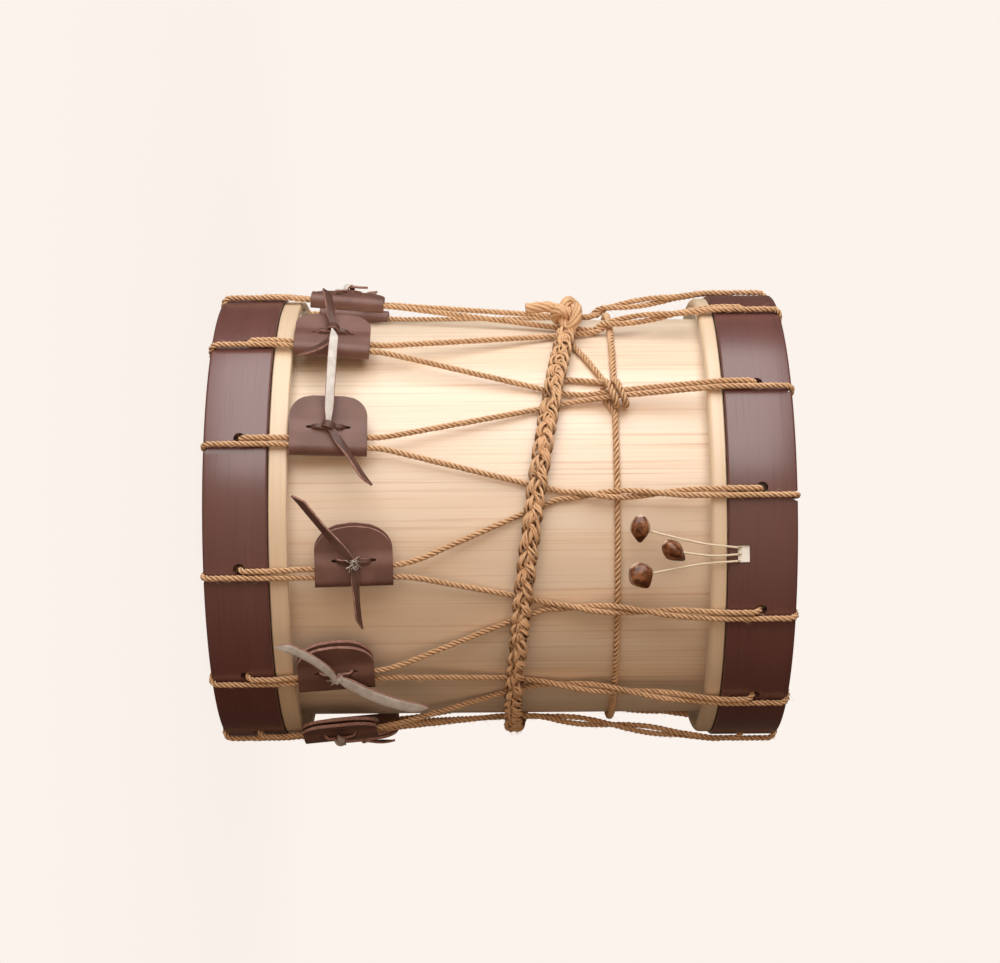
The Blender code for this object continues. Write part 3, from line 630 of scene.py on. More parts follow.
def resampled(points: Sequence[Vector], step: float) -> np.ndarray:
    """Points at equal steps along a route."""
    route = np.array([tuple(point) for point in points])
    lengths = np.concatenate([[0], np.cumsum(np.linalg.norm(np.diff(route, axis=0), axis=1))])
    count = max(int(round(lengths[-1] / step)), 2)
    stops = np.linspace(0, lengths[-1], count + 1)
    return np.stack([np.interp(stops, lengths, route[:, axis]) for axis in range(3)], axis=1)


def curved(points: Sequence[Vector], per_span: int = 12) -> list[Vector]:
    """A smooth curve through a few chosen points."""
    knots = [Vector(point) for point in points]
    knots = [knots[0] * 2 - knots[1]] + knots + [knots[-1] * 2 - knots[-2]]
    route = []
    for a, b, c, d in zip(knots, knots[1:], knots[2:], knots[3:]):
        for n in range(per_span):
            t = n / per_span
            bend = (-a + b * 3 - c * 3 + d) * t ** 3 + (a * 2 - b * 5 + c * 4 - d) * t ** 2
            route.append((bend + (c - a) * t + b * 2) / 2)
    route.append(knots[-2])
    return route


# A route's corner is straight below the first angle and slight below the second. Its arc takes up this share
# of the span on each side, at most.
STRAIGHT_DEG = 0.5
SLIGHT_DEG = 25.0
SPAN_SHARE = 0.49


def rounded(points: Sequence[Vector], tight: float, gentle: float, steps: int = 8) -> list[Vector]:
    """Replace each corner of a route by an arc.

    Args:
        points: The route's corners.
        tight: Radius at sharp turns.
        gentle: Radius where the route only bends a little.
        steps: Steps of an arc.

    Returns:
        The rounded route.
    """
    route = [points[0]]
    for before, corner, after in zip(points, points[1:], points[2:]):
        back = before - corner
        ahead = after - corner
        half = back.angle(ahead) / 2
        turn = math.pi - 2 * half
        if turn < math.radians(STRAIGHT_DEG):
            route.append(corner)
            continue
        bend = gentle if turn < math.radians(SLIGHT_DEG) else tight
        reach = min(bend / math.tan(half), SPAN_SHARE * back.length, SPAN_SHARE * ahead.length)
        start = corner + back.normalized() * reach
        end = corner + ahead.normalized() * reach
        centre = corner + (back.normalized() + ahead.normalized()).normalized() * (reach / math.cos(half))
        axis, angle = (start - centre).rotation_difference(end - centre).to_axis_angle()
        for k in range(steps + 1):
            route.append(centre + Matrix.Rotation(angle * k / steps, 3, axis) @ (start - centre))
    route.append(points[-1])
    return route


def directions(path: np.ndarray) -> np.ndarray:
    """Unit directions of a path at its points."""
    steps = np.gradient(path, axis=0)
    return steps / np.linalg.norm(steps, axis=1)[:, None]


def carried_frames(path: np.ndarray) -> tuple[np.ndarray, np.ndarray, np.ndarray]:
    """Frames along a path that turn with it without twist.

    Args:
        path: Points of the path.

    Returns:
        The directions along the path and two square to it, point by point.
    """
    along = directions(path)
    side = np.empty_like(path)
    across = np.array(Vector(along[0]).orthogonal().normalized())
    for n, direction in enumerate(along):
        across = across - direction * across.dot(direction)
        across = across / np.linalg.norm(across)
        side[n] = across
    return along, side, np.cross(along, side)


def roll_tube(
    shape: Shape,
    rings: np.ndarray,
    girth: float,
    crown: Optional[np.ndarray] = None,
    bands: Optional[Sequence[int]] = None,
) -> None:
    """Roll a grid into a closed tube through rings of points, with its UV map in metres.

    Args:
        shape: The shape that the tube is added to.
        rings: Points by station and by place round the section.
        girth: Length round the section, for the UV map.
        crown: How far each point stands out of the cord's furrows, from 0 to 1; the fibre finish paints shade
            where it is low.
        bands: Material number of each strip along the tube.
    """
    stations, sides, _ = rings.shape
    heights = shape.verts.layers.float.get("crown") or shape.verts.layers.float.new("crown")
    uv = shape.loops.layers.uv.get("UVMap") or shape.loops.layers.uv.new("UVMap")
    middle = rings.mean(axis=1)
    travelled = np.concatenate([[0], np.cumsum(np.linalg.norm(np.diff(middle, axis=0), axis=1))])
    verts = bmesh.ops.create_grid(shape, x_segments=stations - 1, y_segments=sides, size=0.5)["verts"]
    faces = {face for vert in verts for face in vert.link_faces}
    for face in faces:
        strip = int((face.calc_center_median().y + 0.5) * sides)
        face.material_index = bands[strip] if bands else 0
        for loop in face.loops:
            along = round((loop.vert.co.x + 0.5) * (stations - 1))
            loop[uv].uv = (travelled[along], (loop.vert.co.y + 0.5) * girth)
    for vert in verts:
        along = round((vert.co.x + 0.5) * (stations - 1))
        around = round((vert.co.y + 0.5) * sides) % sides
        vert.co = rings[along, around]
        vert[heights] = 1.0 if crown is None else crown[along, around]
    bmesh.ops.remove_doubles(shape, verts=verts, dist=1e-7)
    kept = [vert for vert in verts if vert.is_valid]
    rims = {edge for vert in kept for edge in vert.link_edges if edge.is_boundary}
    ends = bmesh.ops.holes_fill(shape, edges=list(rims), sides=0)["faces"]
    tube = {face for vert in kept for face in vert.link_faces}
    bmesh.ops.recalc_face_normals(shape, faces=list(tube | set(ends)))


def section(sides: int) -> np.ndarray:
    """Unit circle as points round a section."""
    angles = np.arange(sides) * TURN / sides
    return np.stack([np.cos(angles), np.sin(angles)], axis=1)


def swept(path: np.ndarray, side: np.ndarray, other: np.ndarray, ring: np.ndarray) -> np.ndarray:
    """Rings of a section along a path, set out on the two directions across it."""
    return path[:, None] + ring[None, :, :1] * side[:, None] + ring[None, :, 1:] * other[:, None]


@dataclass(frozen=True)
class Cordage:
    """A laid cord: equal strands twisted round a centreline, with loose hairs."""

    diameter: float
    lay: float
    strands: int = 3
    strand_share: float = 0.262
    sides: int = 7
    step: float = 0.0010
    hairs_per_metre: int = 360
    unevenness: float = 0.2
    # Waves of unevenness per metre in the strands' turn and thickness, and the turn that one unit of it gives
    turn_waves: float = 40
    swell_waves: float = 170
    turn_gain: float = 5
    # Where a loose hair starts, as a share of the diameter, how far it runs and lifts, how it thins, and
    # how many points at each end of the cord grow none
    hair_root: float = 0.44
    hair_reach: tuple = (0.0016, 0.0046)
    hair_lift: tuple = (0.15, 0.75)
    hair_sway: float = 0.5
    hair_curl: float = 1.6
    hair_radius: float = 0.00007
    hair_taper: float = 0.6
    hair_girth: float = 0.0004
    hairless_ends: int = 4

    def lay_up(
        self, shape: Shape, route: Sequence[Vector], seed: int = 0, flatten: float = 1.0
    ) -> np.ndarray:
        """Lay the strands along a route.

        Args:
            shape: The shape that the cord is added to.
            route: Points of the cord's centreline.
            seed: Seed of its hairs, of its unevenness and of its first turn.
            flatten: Share of the round thickness that is left across the route's second direction.

        Returns:
            The centreline at equal steps.
        """
        path = resampled(route, self.step)
        along, side, other = carried_frames(path)
        other = other * flatten
        travelled = np.arange(len(path)) * np.linalg.norm(path[1] - path[0])
        strand = self.strand_share * self.diameter
        offset = self.diameter / 2 - strand
        ring = section(self.sides)
        drift = self.drift(travelled, self.turn_waves, seed)
        for k in range(self.strands):
            turn = seed + TURN * (k / self.strands + travelled / self.lay) + self.turn_gain * drift
            swell = 1 + self.drift(travelled, self.swell_waves, seed + 31 * (k + 1))[:, None, None]
            spoke = np.cos(turn)[:, None] * side + np.sin(turn)[:, None] * other
            centre = path + offset * spoke
            cross = np.cross(along, spoke)
            rings = (
                centre[:, None]
                + strand * swell * ring[None, :, :1] * spoke[:, None]
                + strand * swell * ring[None, :, 1:] * cross[:, None]
            )
            # How far out each point stands, which the fibre finish turns into painted shade in the furrows
            crown = np.linalg.norm(rings - path[:, None], axis=2) / (self.diameter / 2)
            # No strand reaches below the floor that the drum stands on
            rings[..., 2] = np.maximum(rings[..., 2], 0.0)
            roll_tube(shape, rings, TURN * strand, crown)
        self.add_hairs(shape, path, along, side, other, seed)
        return path

    def drift(self, travelled: np.ndarray, per_metre: float, seed: int) -> np.ndarray:
        """Slow hand-made unevenness along the cord; each seed reads its own row of the noise."""
        places = [Vector((s * per_metre, seed * NOISE_ROW, 0.5)) for s in travelled]
        return self.unevenness * np.array([noise.noise(place) for place in places])

    def add_hairs(
        self, shape: Shape, path: np.ndarray, along: np.ndarray, side: np.ndarray, other: np.ndarray,
        seed: int,
    ) -> None:
        """Add loose fibres that leave the cord at a slant; each has a dozen faces.

        Args:
            shape: The shape that the hairs are added to.
            path: The cord's centreline.
            along: Directions along the cord.
            side: First direction across it.
            other: Second direction across it.
            seed: Seed of the draw.
        """
        draw = random.Random(seed * 7919 + 11)
        length = len(path) * self.step
        loose = bmesh.new()
        loose.verts.layers.float.new("crown")
        loose.loops.layers.uv.new("UVMap")
        for _ in range(int(length * self.hairs_per_metre)):
            n = draw.randrange(self.hairless_ends, len(path) - self.hairless_ends)
            turn = draw.uniform(0, TURN)
            out = math.cos(turn) * side[n] + math.sin(turn) * other[n]
            around = np.cross(along[n], out)
            lean = along[n] * draw.choice((-1, 1)) + self.hair_sway * around * draw.uniform(-1, 1)
            start = path[n] + out * self.diameter * self.hair_root
            reach = draw.uniform(*self.hair_reach)
            lift = draw.uniform(*self.hair_lift)
            stops = [
                start + lean * reach * t + out * reach * lift * t ** self.hair_curl for t in (0, 0.5, 1)
            ]
            ring = section(3)
            spokes = ring[:, :1] * out + ring[:, 1:] * around
            rings = np.stack([
                stop + self.hair_radius * (1 - self.hair_taper * k / 2) * spokes
                for k, stop in enumerate(stops)
            ])
            rings[..., 2] = np.maximum(rings[..., 2], 0.0)
            roll_tube(loose, rings, self.hair_girth)
        mesh = meshed("hairs", loose)
        shape.from_mesh(mesh)
        bpy.data.meshes.remove(mesh)


# Lacing points on each hoop
POINTS = 12


@dataclass(frozen=True)
class DrumEnd:
    """One end of the drum: its hoop edge, which way is inward, and the sizes of its rings."""

    name: str
    edge: float
    inward: int
    hoop_width: float
    hole_inset: float
    flesh_width: float
    flesh_seam: float
    flesh_round: float
    first_deg: float
    strays_deg: tuple

    def z(self, depth: float) -> float:
        """Height of a point that lies depth inward from the hoop's outer edge."""
        return self.edge + self.inward * depth

    def angle(self, k: int) -> float:
        """Angle of lacing point k; the holes were marked out by hand, so each strays a little."""
        return math.radians(self.first_deg + 360 / POINTS * (k % POINTS) + self.strays_deg[k % POINTS])


LOWER = DrumEnd(
    "lower", edge=0.00168, inward=1, hoop_width=0.0348, hole_inset=0.0194, flesh_width=0.0099,
    flesh_seam=0.0006, flesh_round=0.0010, first_deg=12.3,
    strays_deg=(0.9, 0.6, 0.0, 0.4, -0.5, 0.3, -0.4, 0.5, -0.3, 1.5, 0.2, -0.7),
)
UPPER = DrumEnd(
    "upper", edge=0.32108, inward=-1, hoop_width=0.0373, hole_inset=0.0190, flesh_width=0.0084,
    flesh_seam=0.0006, flesh_round=0.0030, first_deg=-5.7,
    strays_deg=(0.4, 0.1, -2.5, -3.9, -3.6, -2.3, -0.4, 1.6, 3.2, 4.0, 3.6, 3.1),
)


@dataclass(frozen=True)
class RattleWindow:
    """The small window in the upper counterhoop, over whose lip the rattles hang."""

    turn_deg: float = 9.4
    width: float = 0.0096
    height: float = 0.0066
    lip: float = 0.0049

    def angle(self) -> float:
        """Angle of the window's middle round the drum."""
        return math.radians(self.turn_deg)

    def lip_z(self) -> float:
        """Height of the window's lower edge."""
        return UPPER.z(UPPER.hoop_width - self.lip)

    def middle_z(self) -> float:
        """Height of the window's middle."""
        return self.lip_z() + self.height / 2


WINDOW = RattleWindow()


@dataclass
class WoodenBody:
    """The shell, the two flesh hoops and the two laced counterhoops."""

    shop: Workshop
    shell_radius: float = 0.1163
    shell_wall: float = 0.005
    shell_round: float = 0.0008
    head_gap: float = 0.0131
    flesh_inside: float = 0.1240
    flesh_outside: float = 0.1285
    flesh_bevel: float = 0.0005
    flesh_ease: float = 0.0004
    flesh_true: float = 0.0006
    flesh_wobble: float = 0.0004
    wobble_waves: float = 35
    wobble_inward: float = 0.3
    hoop_inside: float = 0.1245
    hoop_outside: float = 0.1300
    hoop_round: float = 0.0012
    hole_radius: float = 0.0032
    saddle_radius: float = 0.0028
    pair_half: float = 0.00235
    rope_stand: float = 0.003
    drill_depth: float = 0.012
    drill_sides: int = 28
    steps: int = 192

    def build(self) -> None:
        """Build and dress the wooden pieces."""
        self.build_shell()
        for end in (LOWER, UPPER):
            self.build_flesh_hoop(end)
            self.build_counterhoop(end)

    def build_shell(self) -> None:
        """The plain bent shell, softened at its rims."""
        low = LOWER.z(self.head_gap)
        high = UPPER.z(self.head_gap)
        inner = self.shell_radius - self.shell_wall
        outline = [(inner, low), (self.shell_radius, low), (self.shell_radius, high), (inner, high)]
        shape = turned(outline, self.steps)
        softened(shape, self.shell_round)
        self.shop.piece("shell_wood", shape, [PINE], "drum", "shell_pine", ["shell"])

    def build_flesh_hoop(self, end: DrumEnd) -> None:
        """A pale ring beside the counterhoop, rounded towards the shell and a little uneven."""
        start = end.hoop_width + end.flesh_seam
        stop = start + end.flesh_width
        r = end.flesh_round
        arc = [math.pi / 2 * k / 5 for k in range(6)]
        outline = [(self.flesh_inside, start), (self.flesh_outside - self.flesh_bevel, start)]
        outline.append((self.flesh_outside, start + self.flesh_bevel))
        outline += [
            (self.flesh_outside - r + r * math.cos(a), stop - r + r * math.sin(a)) for a in arc
        ]
        outline.append((self.flesh_inside + self.flesh_ease, stop))
        outline.append((self.flesh_inside, stop - self.flesh_ease))
        shape = turned([(radius, end.z(depth)) for radius, depth in outline], self.steps)
        for vert in shape.verts:
            outward = Vector((vert.co.x, vert.co.y, 0)).normalized()
            if vert.co.xy.length > self.flesh_inside + self.flesh_true:
                wave = noise.noise(vert.co * self.wobble_waves) - self.wobble_inward
                vert.co += outward * self.flesh_wobble * wave
        name = f"{end.name}_flesh_hoop"
        self.shop.piece(f"{name}_wood", shape, [POPLAR], "drum", "ring_wood", [name])

    def drill(self, tool: Shape, angle: float, z: float, radius: float) -> None:
        """Add a rod that pierces the hoop's wall along a radius."""
        middle = (self.hoop_inside + self.hoop_outside) / 2
        stand = Matrix.Translation((0, -middle, 0)) @ Matrix.Rotation(math.pi / 2, 4, "X")
        bmesh.ops.create_cone(
            tool, cap_ends=True, segments=self.drill_sides, radius1=radius, radius2=radius,
            depth=self.drill_depth,
            matrix=Matrix.Translation((0, 0, z)) @ Matrix.Rotation(angle, 4, "Z") @ stand,
        )

    def build_counterhoop(self, end: DrumEnd) -> None:
        """A stained hoop with drilled rope holes, rope saddles and, above, the rattle window."""
        width = end.hoop_width
        outline = [(self.hoop_inside, 0), (self.hoop_outside, 0), (self.hoop_outside, width)]
        outline.append((self.hoop_inside, width))
        shape = turned([(radius, end.z(depth)) for radius, depth in outline], self.steps)
        softened(shape, self.hoop_round)
        tool = bmesh.new()
        aside = self.pair_half / (self.hoop_outside + self.rope_stand)
        for k in range(POINTS):
            self.drill(tool, end.angle(k) - aside, end.z(end.hole_inset), self.hole_radius)
            self.drill(tool, end.angle(k) + aside, end.edge, self.saddle_radius)
        if end is UPPER:
            middle = (self.hoop_inside + self.hoop_outside) / 2
            turn = Matrix.Rotation(WINDOW.angle(), 4, "Z")
            size = Matrix.Diagonal((WINDOW.width, self.drill_depth, WINDOW.height, 1))
            place = Matrix.Translation((0, 0, WINDOW.middle_z())) @ turn @ Matrix.Translation((0, -middle, 0))
            bmesh.ops.create_cube(tool, size=1, matrix=place @ size)
        shape = carved(shape, tool)
        name = f"{end.name}_counterhoop"
        self.shop.piece(f"{name}_wood", shape, [STAINED_ASH], "drum", "stained_wood", [name])


@dataclass
class DrumHeads:
    """The two rawhide heads, drawn over the shell's rims and lapped to the flesh hoops."""

    shop: Workshop
    recess: float = 0.0124
    collar: float = 0.1170
    bearing_round: float = 0.0022
    thickness: float = 0.0008
    lining: float = 0.1233
    below_hole: float = 0.0042
    flat_rings: tuple = (0.0, 0.04, 0.08)
    tuck: float = 0.001
    flare: float = 0.004
    lap_front: float = 0.1296
    lap_lean_deg: float = -10.0
    lap_gaps: tuple = (0.0006, 0.0004)
    collar_steps: int = 8
    steps: int = 216

    def build(self) -> None:
        """Build and dress both heads."""
        for end in (LOWER, UPPER):
            self.build_head(end)

    def build_head(self, end: DrumEnd) -> None:
        """A flat head, its rounded bearing edge, the collar and the flare under the flesh hoop."""
        r = self.bearing_round
        arc = [math.pi / 2 * k / 4 for k in range(5)]
        outline = [(ring, self.recess) for ring in self.flat_rings]
        outline += [(self.collar - r + r * math.sin(a), self.recess + r - r * math.cos(a)) for a in arc]
        rim = outline[-1][1]
        foot = end.hole_inset + self.below_hole
        ring = end.hoop_width + end.flesh_seam
        for k in range(1, self.collar_steps + 1):
            outline.append((self.collar, rim + (foot - rim) * k / self.collar_steps))
        outline.append((self.collar + self.tuck, ring - self.tuck))
        outline.append((self.lining, ring + self.flare))
        outline.append((self.lining, ring + end.flesh_width))
        shape = turned([(radius, end.z(depth)) for radius, depth in outline], self.steps, closed=False)
        bmesh.ops.solidify(shape, geom=shape.faces[:], thickness=self.thickness / 2)
        bmesh.ops.recalc_face_normals(shape, faces=shape.faces)
        if end is UPPER:
            self.lap_in_window(shape)
        name = f"{end.name}_head_skin"
        self.shop.piece(f"{name}_hide", shape, [RAWHIDE], "drum", "rawhide", [name])

    def lap_in_window(self, shape: Shape) -> None:
        """The skin's spare edge, folded up into the window, where it shows white."""
        deep = self.lap_front - self.collar
        aside, above = self.lap_gaps
        turn = Matrix.Rotation(WINDOW.angle(), 4, "Z")
        stand = Matrix.Translation((0, -self.lap_front, WINDOW.middle_z()))
        lean = Matrix.Rotation(math.radians(self.lap_lean_deg), 4, "Z") @ Matrix.Translation((0, deep / 2, 0))
        size = Matrix.Diagonal((WINDOW.width - aside, deep, WINDOW.height - above, 1))
        bmesh.ops.create_cube(shape, size=1, matrix=turn @ stand @ lean @ size)


@dataclass
class Lacing:
    """The tension rope: one rope in twelve runs that zigzag between the two counterhoops."""

    shop: Workshop
    rope: Cordage = Cordage(0.0035, 0.0090)
    outside: float = 0.1326
    inside: float = 0.12095
    at_belt: float = 0.1189
    at_girdle: float = 0.1241
    pair_half: float = 0.00185
    spread: float = 0.021
    bend: float = 0.0042
    gentle_bend: float = 0.06
    hoop_top: float = 0.03648
    slope: float = 0.0914
    ear_base: float = 0.04698
    ear_length: float = 0.042
    ear_travel: float = 0.0083
    ear_offsets: tuple = (
        0.0147, 0.0027, 0.0008, 0.010, 0.004, 0.012, 0.007, 0.009, 0.005, 0.0057, 0.0008, 0.0011
    )
    belt_z: float = 0.18638
    belt_tilt: float = 0.0185
    belt_low_deg: float = 67.0
    belt_pull: float = 0.003
    belt_pull_deg: float = 30.0
    belt_half: float = 0.0058
    belt_to_merge: float = 0.014
    merge_to_girdle: float = 0.009
    knot_deg: float = -62.0
    girdle_z: float = 0.22498
    twist_lead: float = 0.002
    twist_end: float = 0.268
    twist_steps: int = 16
    hitched_pair: int = 11
    seat: float = 0.0008

    def build(self) -> None:
        """Lay up and dress the twelve runs."""
        for k in range(POINTS):
            shape = bmesh.new()
            self.rope.lay_up(shape, self.run(k), seed=k + 1)
            name = f"lacing_run_{k + 1:02d}"
            self.shop.piece(f"{name}_rope", shape, [JUTE], "drum", "jute", [name], CORD_DEG)

    def belt_height(self, angle: float) -> float:
        """The belt hangs askew, so its height varies once round the drum; its knot pulls it up a little."""
        away = math.degrees(math.remainder(angle - math.radians(self.knot_deg), TURN)) / self.belt_pull_deg
        askew = self.belt_tilt * math.cos(angle - math.radians(self.belt_low_deg))
        return self.belt_z - askew + self.belt_pull * math.exp(-away ** 2)

    def radius_below_belt(self, z: float) -> float:
        """Radius of the ropes between the lower hoop and the belt."""
        return self.outside - self.slope * (z - self.hoop_top)

    def ear_bottom(self, k: int) -> float:
        """Height of an ear's lower end."""
        return self.ear_base + self.ear_offsets[k]

    def leg(self, lower: int, upper: int, side: int) -> list[Vector]:
        """Corners of one rope from the lower hoop up to the upper hoop.

        Args:
            lower: Lacing point on the lower hoop.
            upper: Lacing point on the upper hoop.
            side: The rope's side of its ear, -1 or 1.

        Returns:
            The corners, upwards.
        """
        low = LOWER.angle(lower)
        high = UPPER.angle(upper)
        high += TURN * round((low - high) / TURN)
        part = self.ear_bottom(lower) + self.ear_length + self.ear_travel
        part_radius = self.radius_below_belt(part)
        half = self.pair_half + self.spread * (part - self.hoop_top)
        part_angle = low + side * half / part_radius
        merge_angle = high - side * self.pair_half / self.at_belt
        belt = self.belt_height((part_angle + 2 * merge_angle) / 3)
        under = belt - self.belt_half
        merge = min(belt + self.belt_to_merge, self.girdle_z - self.merge_to_girdle)
        share = (under - part) / (merge - part)
        corners = [
            polar(self.outside, low + side * self.pair_half / self.outside, self.hoop_top),
            polar(part_radius, part_angle, part),
            polar(self.at_belt, part_angle + (merge_angle - part_angle) * share, under),
            polar(self.at_belt, merge_angle, merge),
        ]
        corners += self.twist(high, side, merge, upper == self.hitched_pair)
        top = UPPER.z(UPPER.hoop_width)
        corners.append(polar(self.outside, high - side * self.pair_half / self.outside, top))
        return corners

    def twist(self, high: float, side: int, merge: float, straight: bool) -> list[Vector]:
        """Points where a pair's ropes go once round each other above the belt.

        Args:
            high: Angle of the pair.
            side: The rope's side of its ear.
            merge: Height where the pair comes together.
            straight: Whether the pair stays side by side, as under the girdle's hitch.

        Returns:
            The points, upwards.
        """
        if straight:
            return [polar(self.at_girdle, high - side * self.pair_half / self.at_girdle, self.girdle_z)]
        start = merge + self.twist_lead
        top = UPPER.z(UPPER.hoop_width)
        points = []
        for n in range(1, self.twist_steps):
            z = start + (self.twist_end - start) * n / self.twist_steps
            past = z - self.girdle_z
            if past < 0:
                turn = math.pi * (z - start) / (self.girdle_z - start)
                level = self.at_belt + (self.at_girdle - self.at_belt) * (z - merge) / (self.girdle_z - merge)
            else:
                turn = math.pi * (1 + past / (self.twist_end - self.girdle_z))
                level = self.at_girdle + (self.outside - self.at_girdle) * past / (top - self.girdle_z)
            level = max(level, self.at_belt + self.pair_half * abs(math.sin(turn)))
            radius = level + side * self.pair_half * math.sin(turn)
            points.append(polar(radius, high - side * self.pair_half * math.cos(turn) / radius, z))
        return points

    def hole_turn(self, end: DrumEnd, k: int) -> list[Vector]:
        """Corners of a rope that comes along the hoop and enters its hole, drawn to one side of it."""
        angle = end.angle(k) - self.pair_half / self.outside
        z = end.z(end.hole_inset + self.seat)
        return [polar(self.outside, angle, z), polar(self.inside, angle, z)]

    def edge_turn(self, end: DrumEnd, k: int) -> list[Vector]:
        """Corners of a rope that comes from behind the wall, over the hoop's edge and out along it."""
        angle = end.angle(k) + self.pair_half / self.outside
        return [polar(self.inside, angle, end.edge), polar(self.outside, angle, end.edge)]

    def behind(self, end: DrumEnd, k: int) -> Vector:
        """The point behind the hoop's wall, half way from the hole to the edge."""
        return polar(self.inside, end.angle(k), end.z(end.hole_inset / 2))

    def run(self, k: int) -> list[Vector]:
        """Route of the rope from behind upper point k, down to lower point k, and up to the next."""
        following = (k + 1) % POINTS
        corners = [self.behind(UPPER, k), *self.edge_turn(UPPER, k)]
        corners += reversed(self.leg(k, k, -1))
        corners += self.hole_turn(LOWER, k)
        corners += self.edge_turn(LOWER, k)
        corners += self.leg(k, following, 1)
        corners += self.hole_turn(UPPER, following)
        corners.append(self.behind(UPPER, following))
        return rounded(corners, self.bend, self.gentle_bend)


@dataclass(frozen=True)
class LaceEnd:
    """A lace end: heading in the ear's plane (0 up the ropes, 90 to the free edges), length and rise."""

    heading_deg: float
    length: float
    rise: float
    face: Face
    curl_deg: float = 0.0
    roll_deg: float = 0.0
    width: float = 0.0052


# Lace ends, ear by ear round the drum from the front: the under end, then the over end
LACE_ENDS = (
    (
        LaceEnd(-88, 0.037, 0.003, Face.GRAIN, curl_deg=2, roll_deg=-50, width=0.0046),
        LaceEnd(131, 0.048, 0.004, Face.GRAIN, roll_deg=-45, width=0.005),
    ),
    (
        LaceEnd(-40, 0.057, 0.004, Face.FLESH, curl_deg=16, roll_deg=-15, width=0.0074),
        LaceEnd(112, 0.044, 0.004, Face.FLESH, curl_deg=50),
    ),
    (LaceEnd(-90, 0.012, 0.0004, Face.GRAIN), LaceEnd(86, 0.014, 0.0004, Face.FLESH)),
    (LaceEnd(-130, 0.016, 0.002, Face.GRAIN), LaceEnd(-20, 0.018, 0.003, Face.FLESH)),
    (LaceEnd(-80, 0.040, 0.003, Face.FLESH), LaceEnd(60, 0.038, 0.003, Face.GRAIN)),
    (LaceEnd(-45, 0.044, 0.003, Face.GRAIN), LaceEnd(130, 0.042, 0.004, Face.GRAIN)),
    (LaceEnd(-85, 0.038, 0.003, Face.GRAIN), LaceEnd(110, 0.044, 0.005, Face.FLESH)),
    (LaceEnd(-55, 0.042, 0.003, Face.FLESH), LaceEnd(95, 0.040, 0.003, Face.GRAIN)),
    (LaceEnd(-70, 0.038, 0.003, Face.GRAIN), LaceEnd(125, 0.044, 0.004, Face.FLESH)),
    (LaceEnd(-130, 0.013, 0.0004, Face.FLESH), LaceEnd(-20, 0.011, 0.0004, Face.FLESH)),
    (
        LaceEnd(-80, 0.034, 0.003, Face.GRAIN, curl_deg=-90, roll_deg=20, width=0.0046),
        LaceEnd(100, 0.038, 0.004, Face.GRAIN, roll_deg=20),
    ),
    (
        LaceEnd(-57, 0.041, 0.003, Face.GRAIN, roll_deg=-50, width=0.0048),
        LaceEnd(89, 0.059, 0.006, Face.FLESH),
    ),
)

# Rows of the noise that an ear's flaps read
EAR_ROW = 3.7
BACK_ROW = 9

# Number of torn fibres at the knots of the worn laces, by ear
FRAYS = {0: 26, 1: 10, 5: 18, 8: 14}

# Reach of an ear's corners along the ropes and along the flap, ear by ear: some were cut rounder than others
CORNERS = (
    (0.0190, 0.0145), (0.0190, 0.0145), (0.0160, 0.0140), (0.0150, 0.0140),
    (0.0180, 0.0140), (0.0130, 0.0120), (0.0170, 0.0140), (0.0150, 0.0130),
    (0.0180, 0.0140), (0.0130, 0.0120), (0.0115, 0.0100), (0.0125, 0.0115),
)

# A thong's section in shares of half its width and half its thickness
THONG_SECTION = (
    (1, -0.4), (1, 0.4), (0.86, 1), (0.3, 1), (-0.3, 1), (-0.86, 1),
    (-1, 0.4), (-1, -0.4), (-0.86, -1), (-0.3, -1), (0.3, -1), (0.86, -1),
)


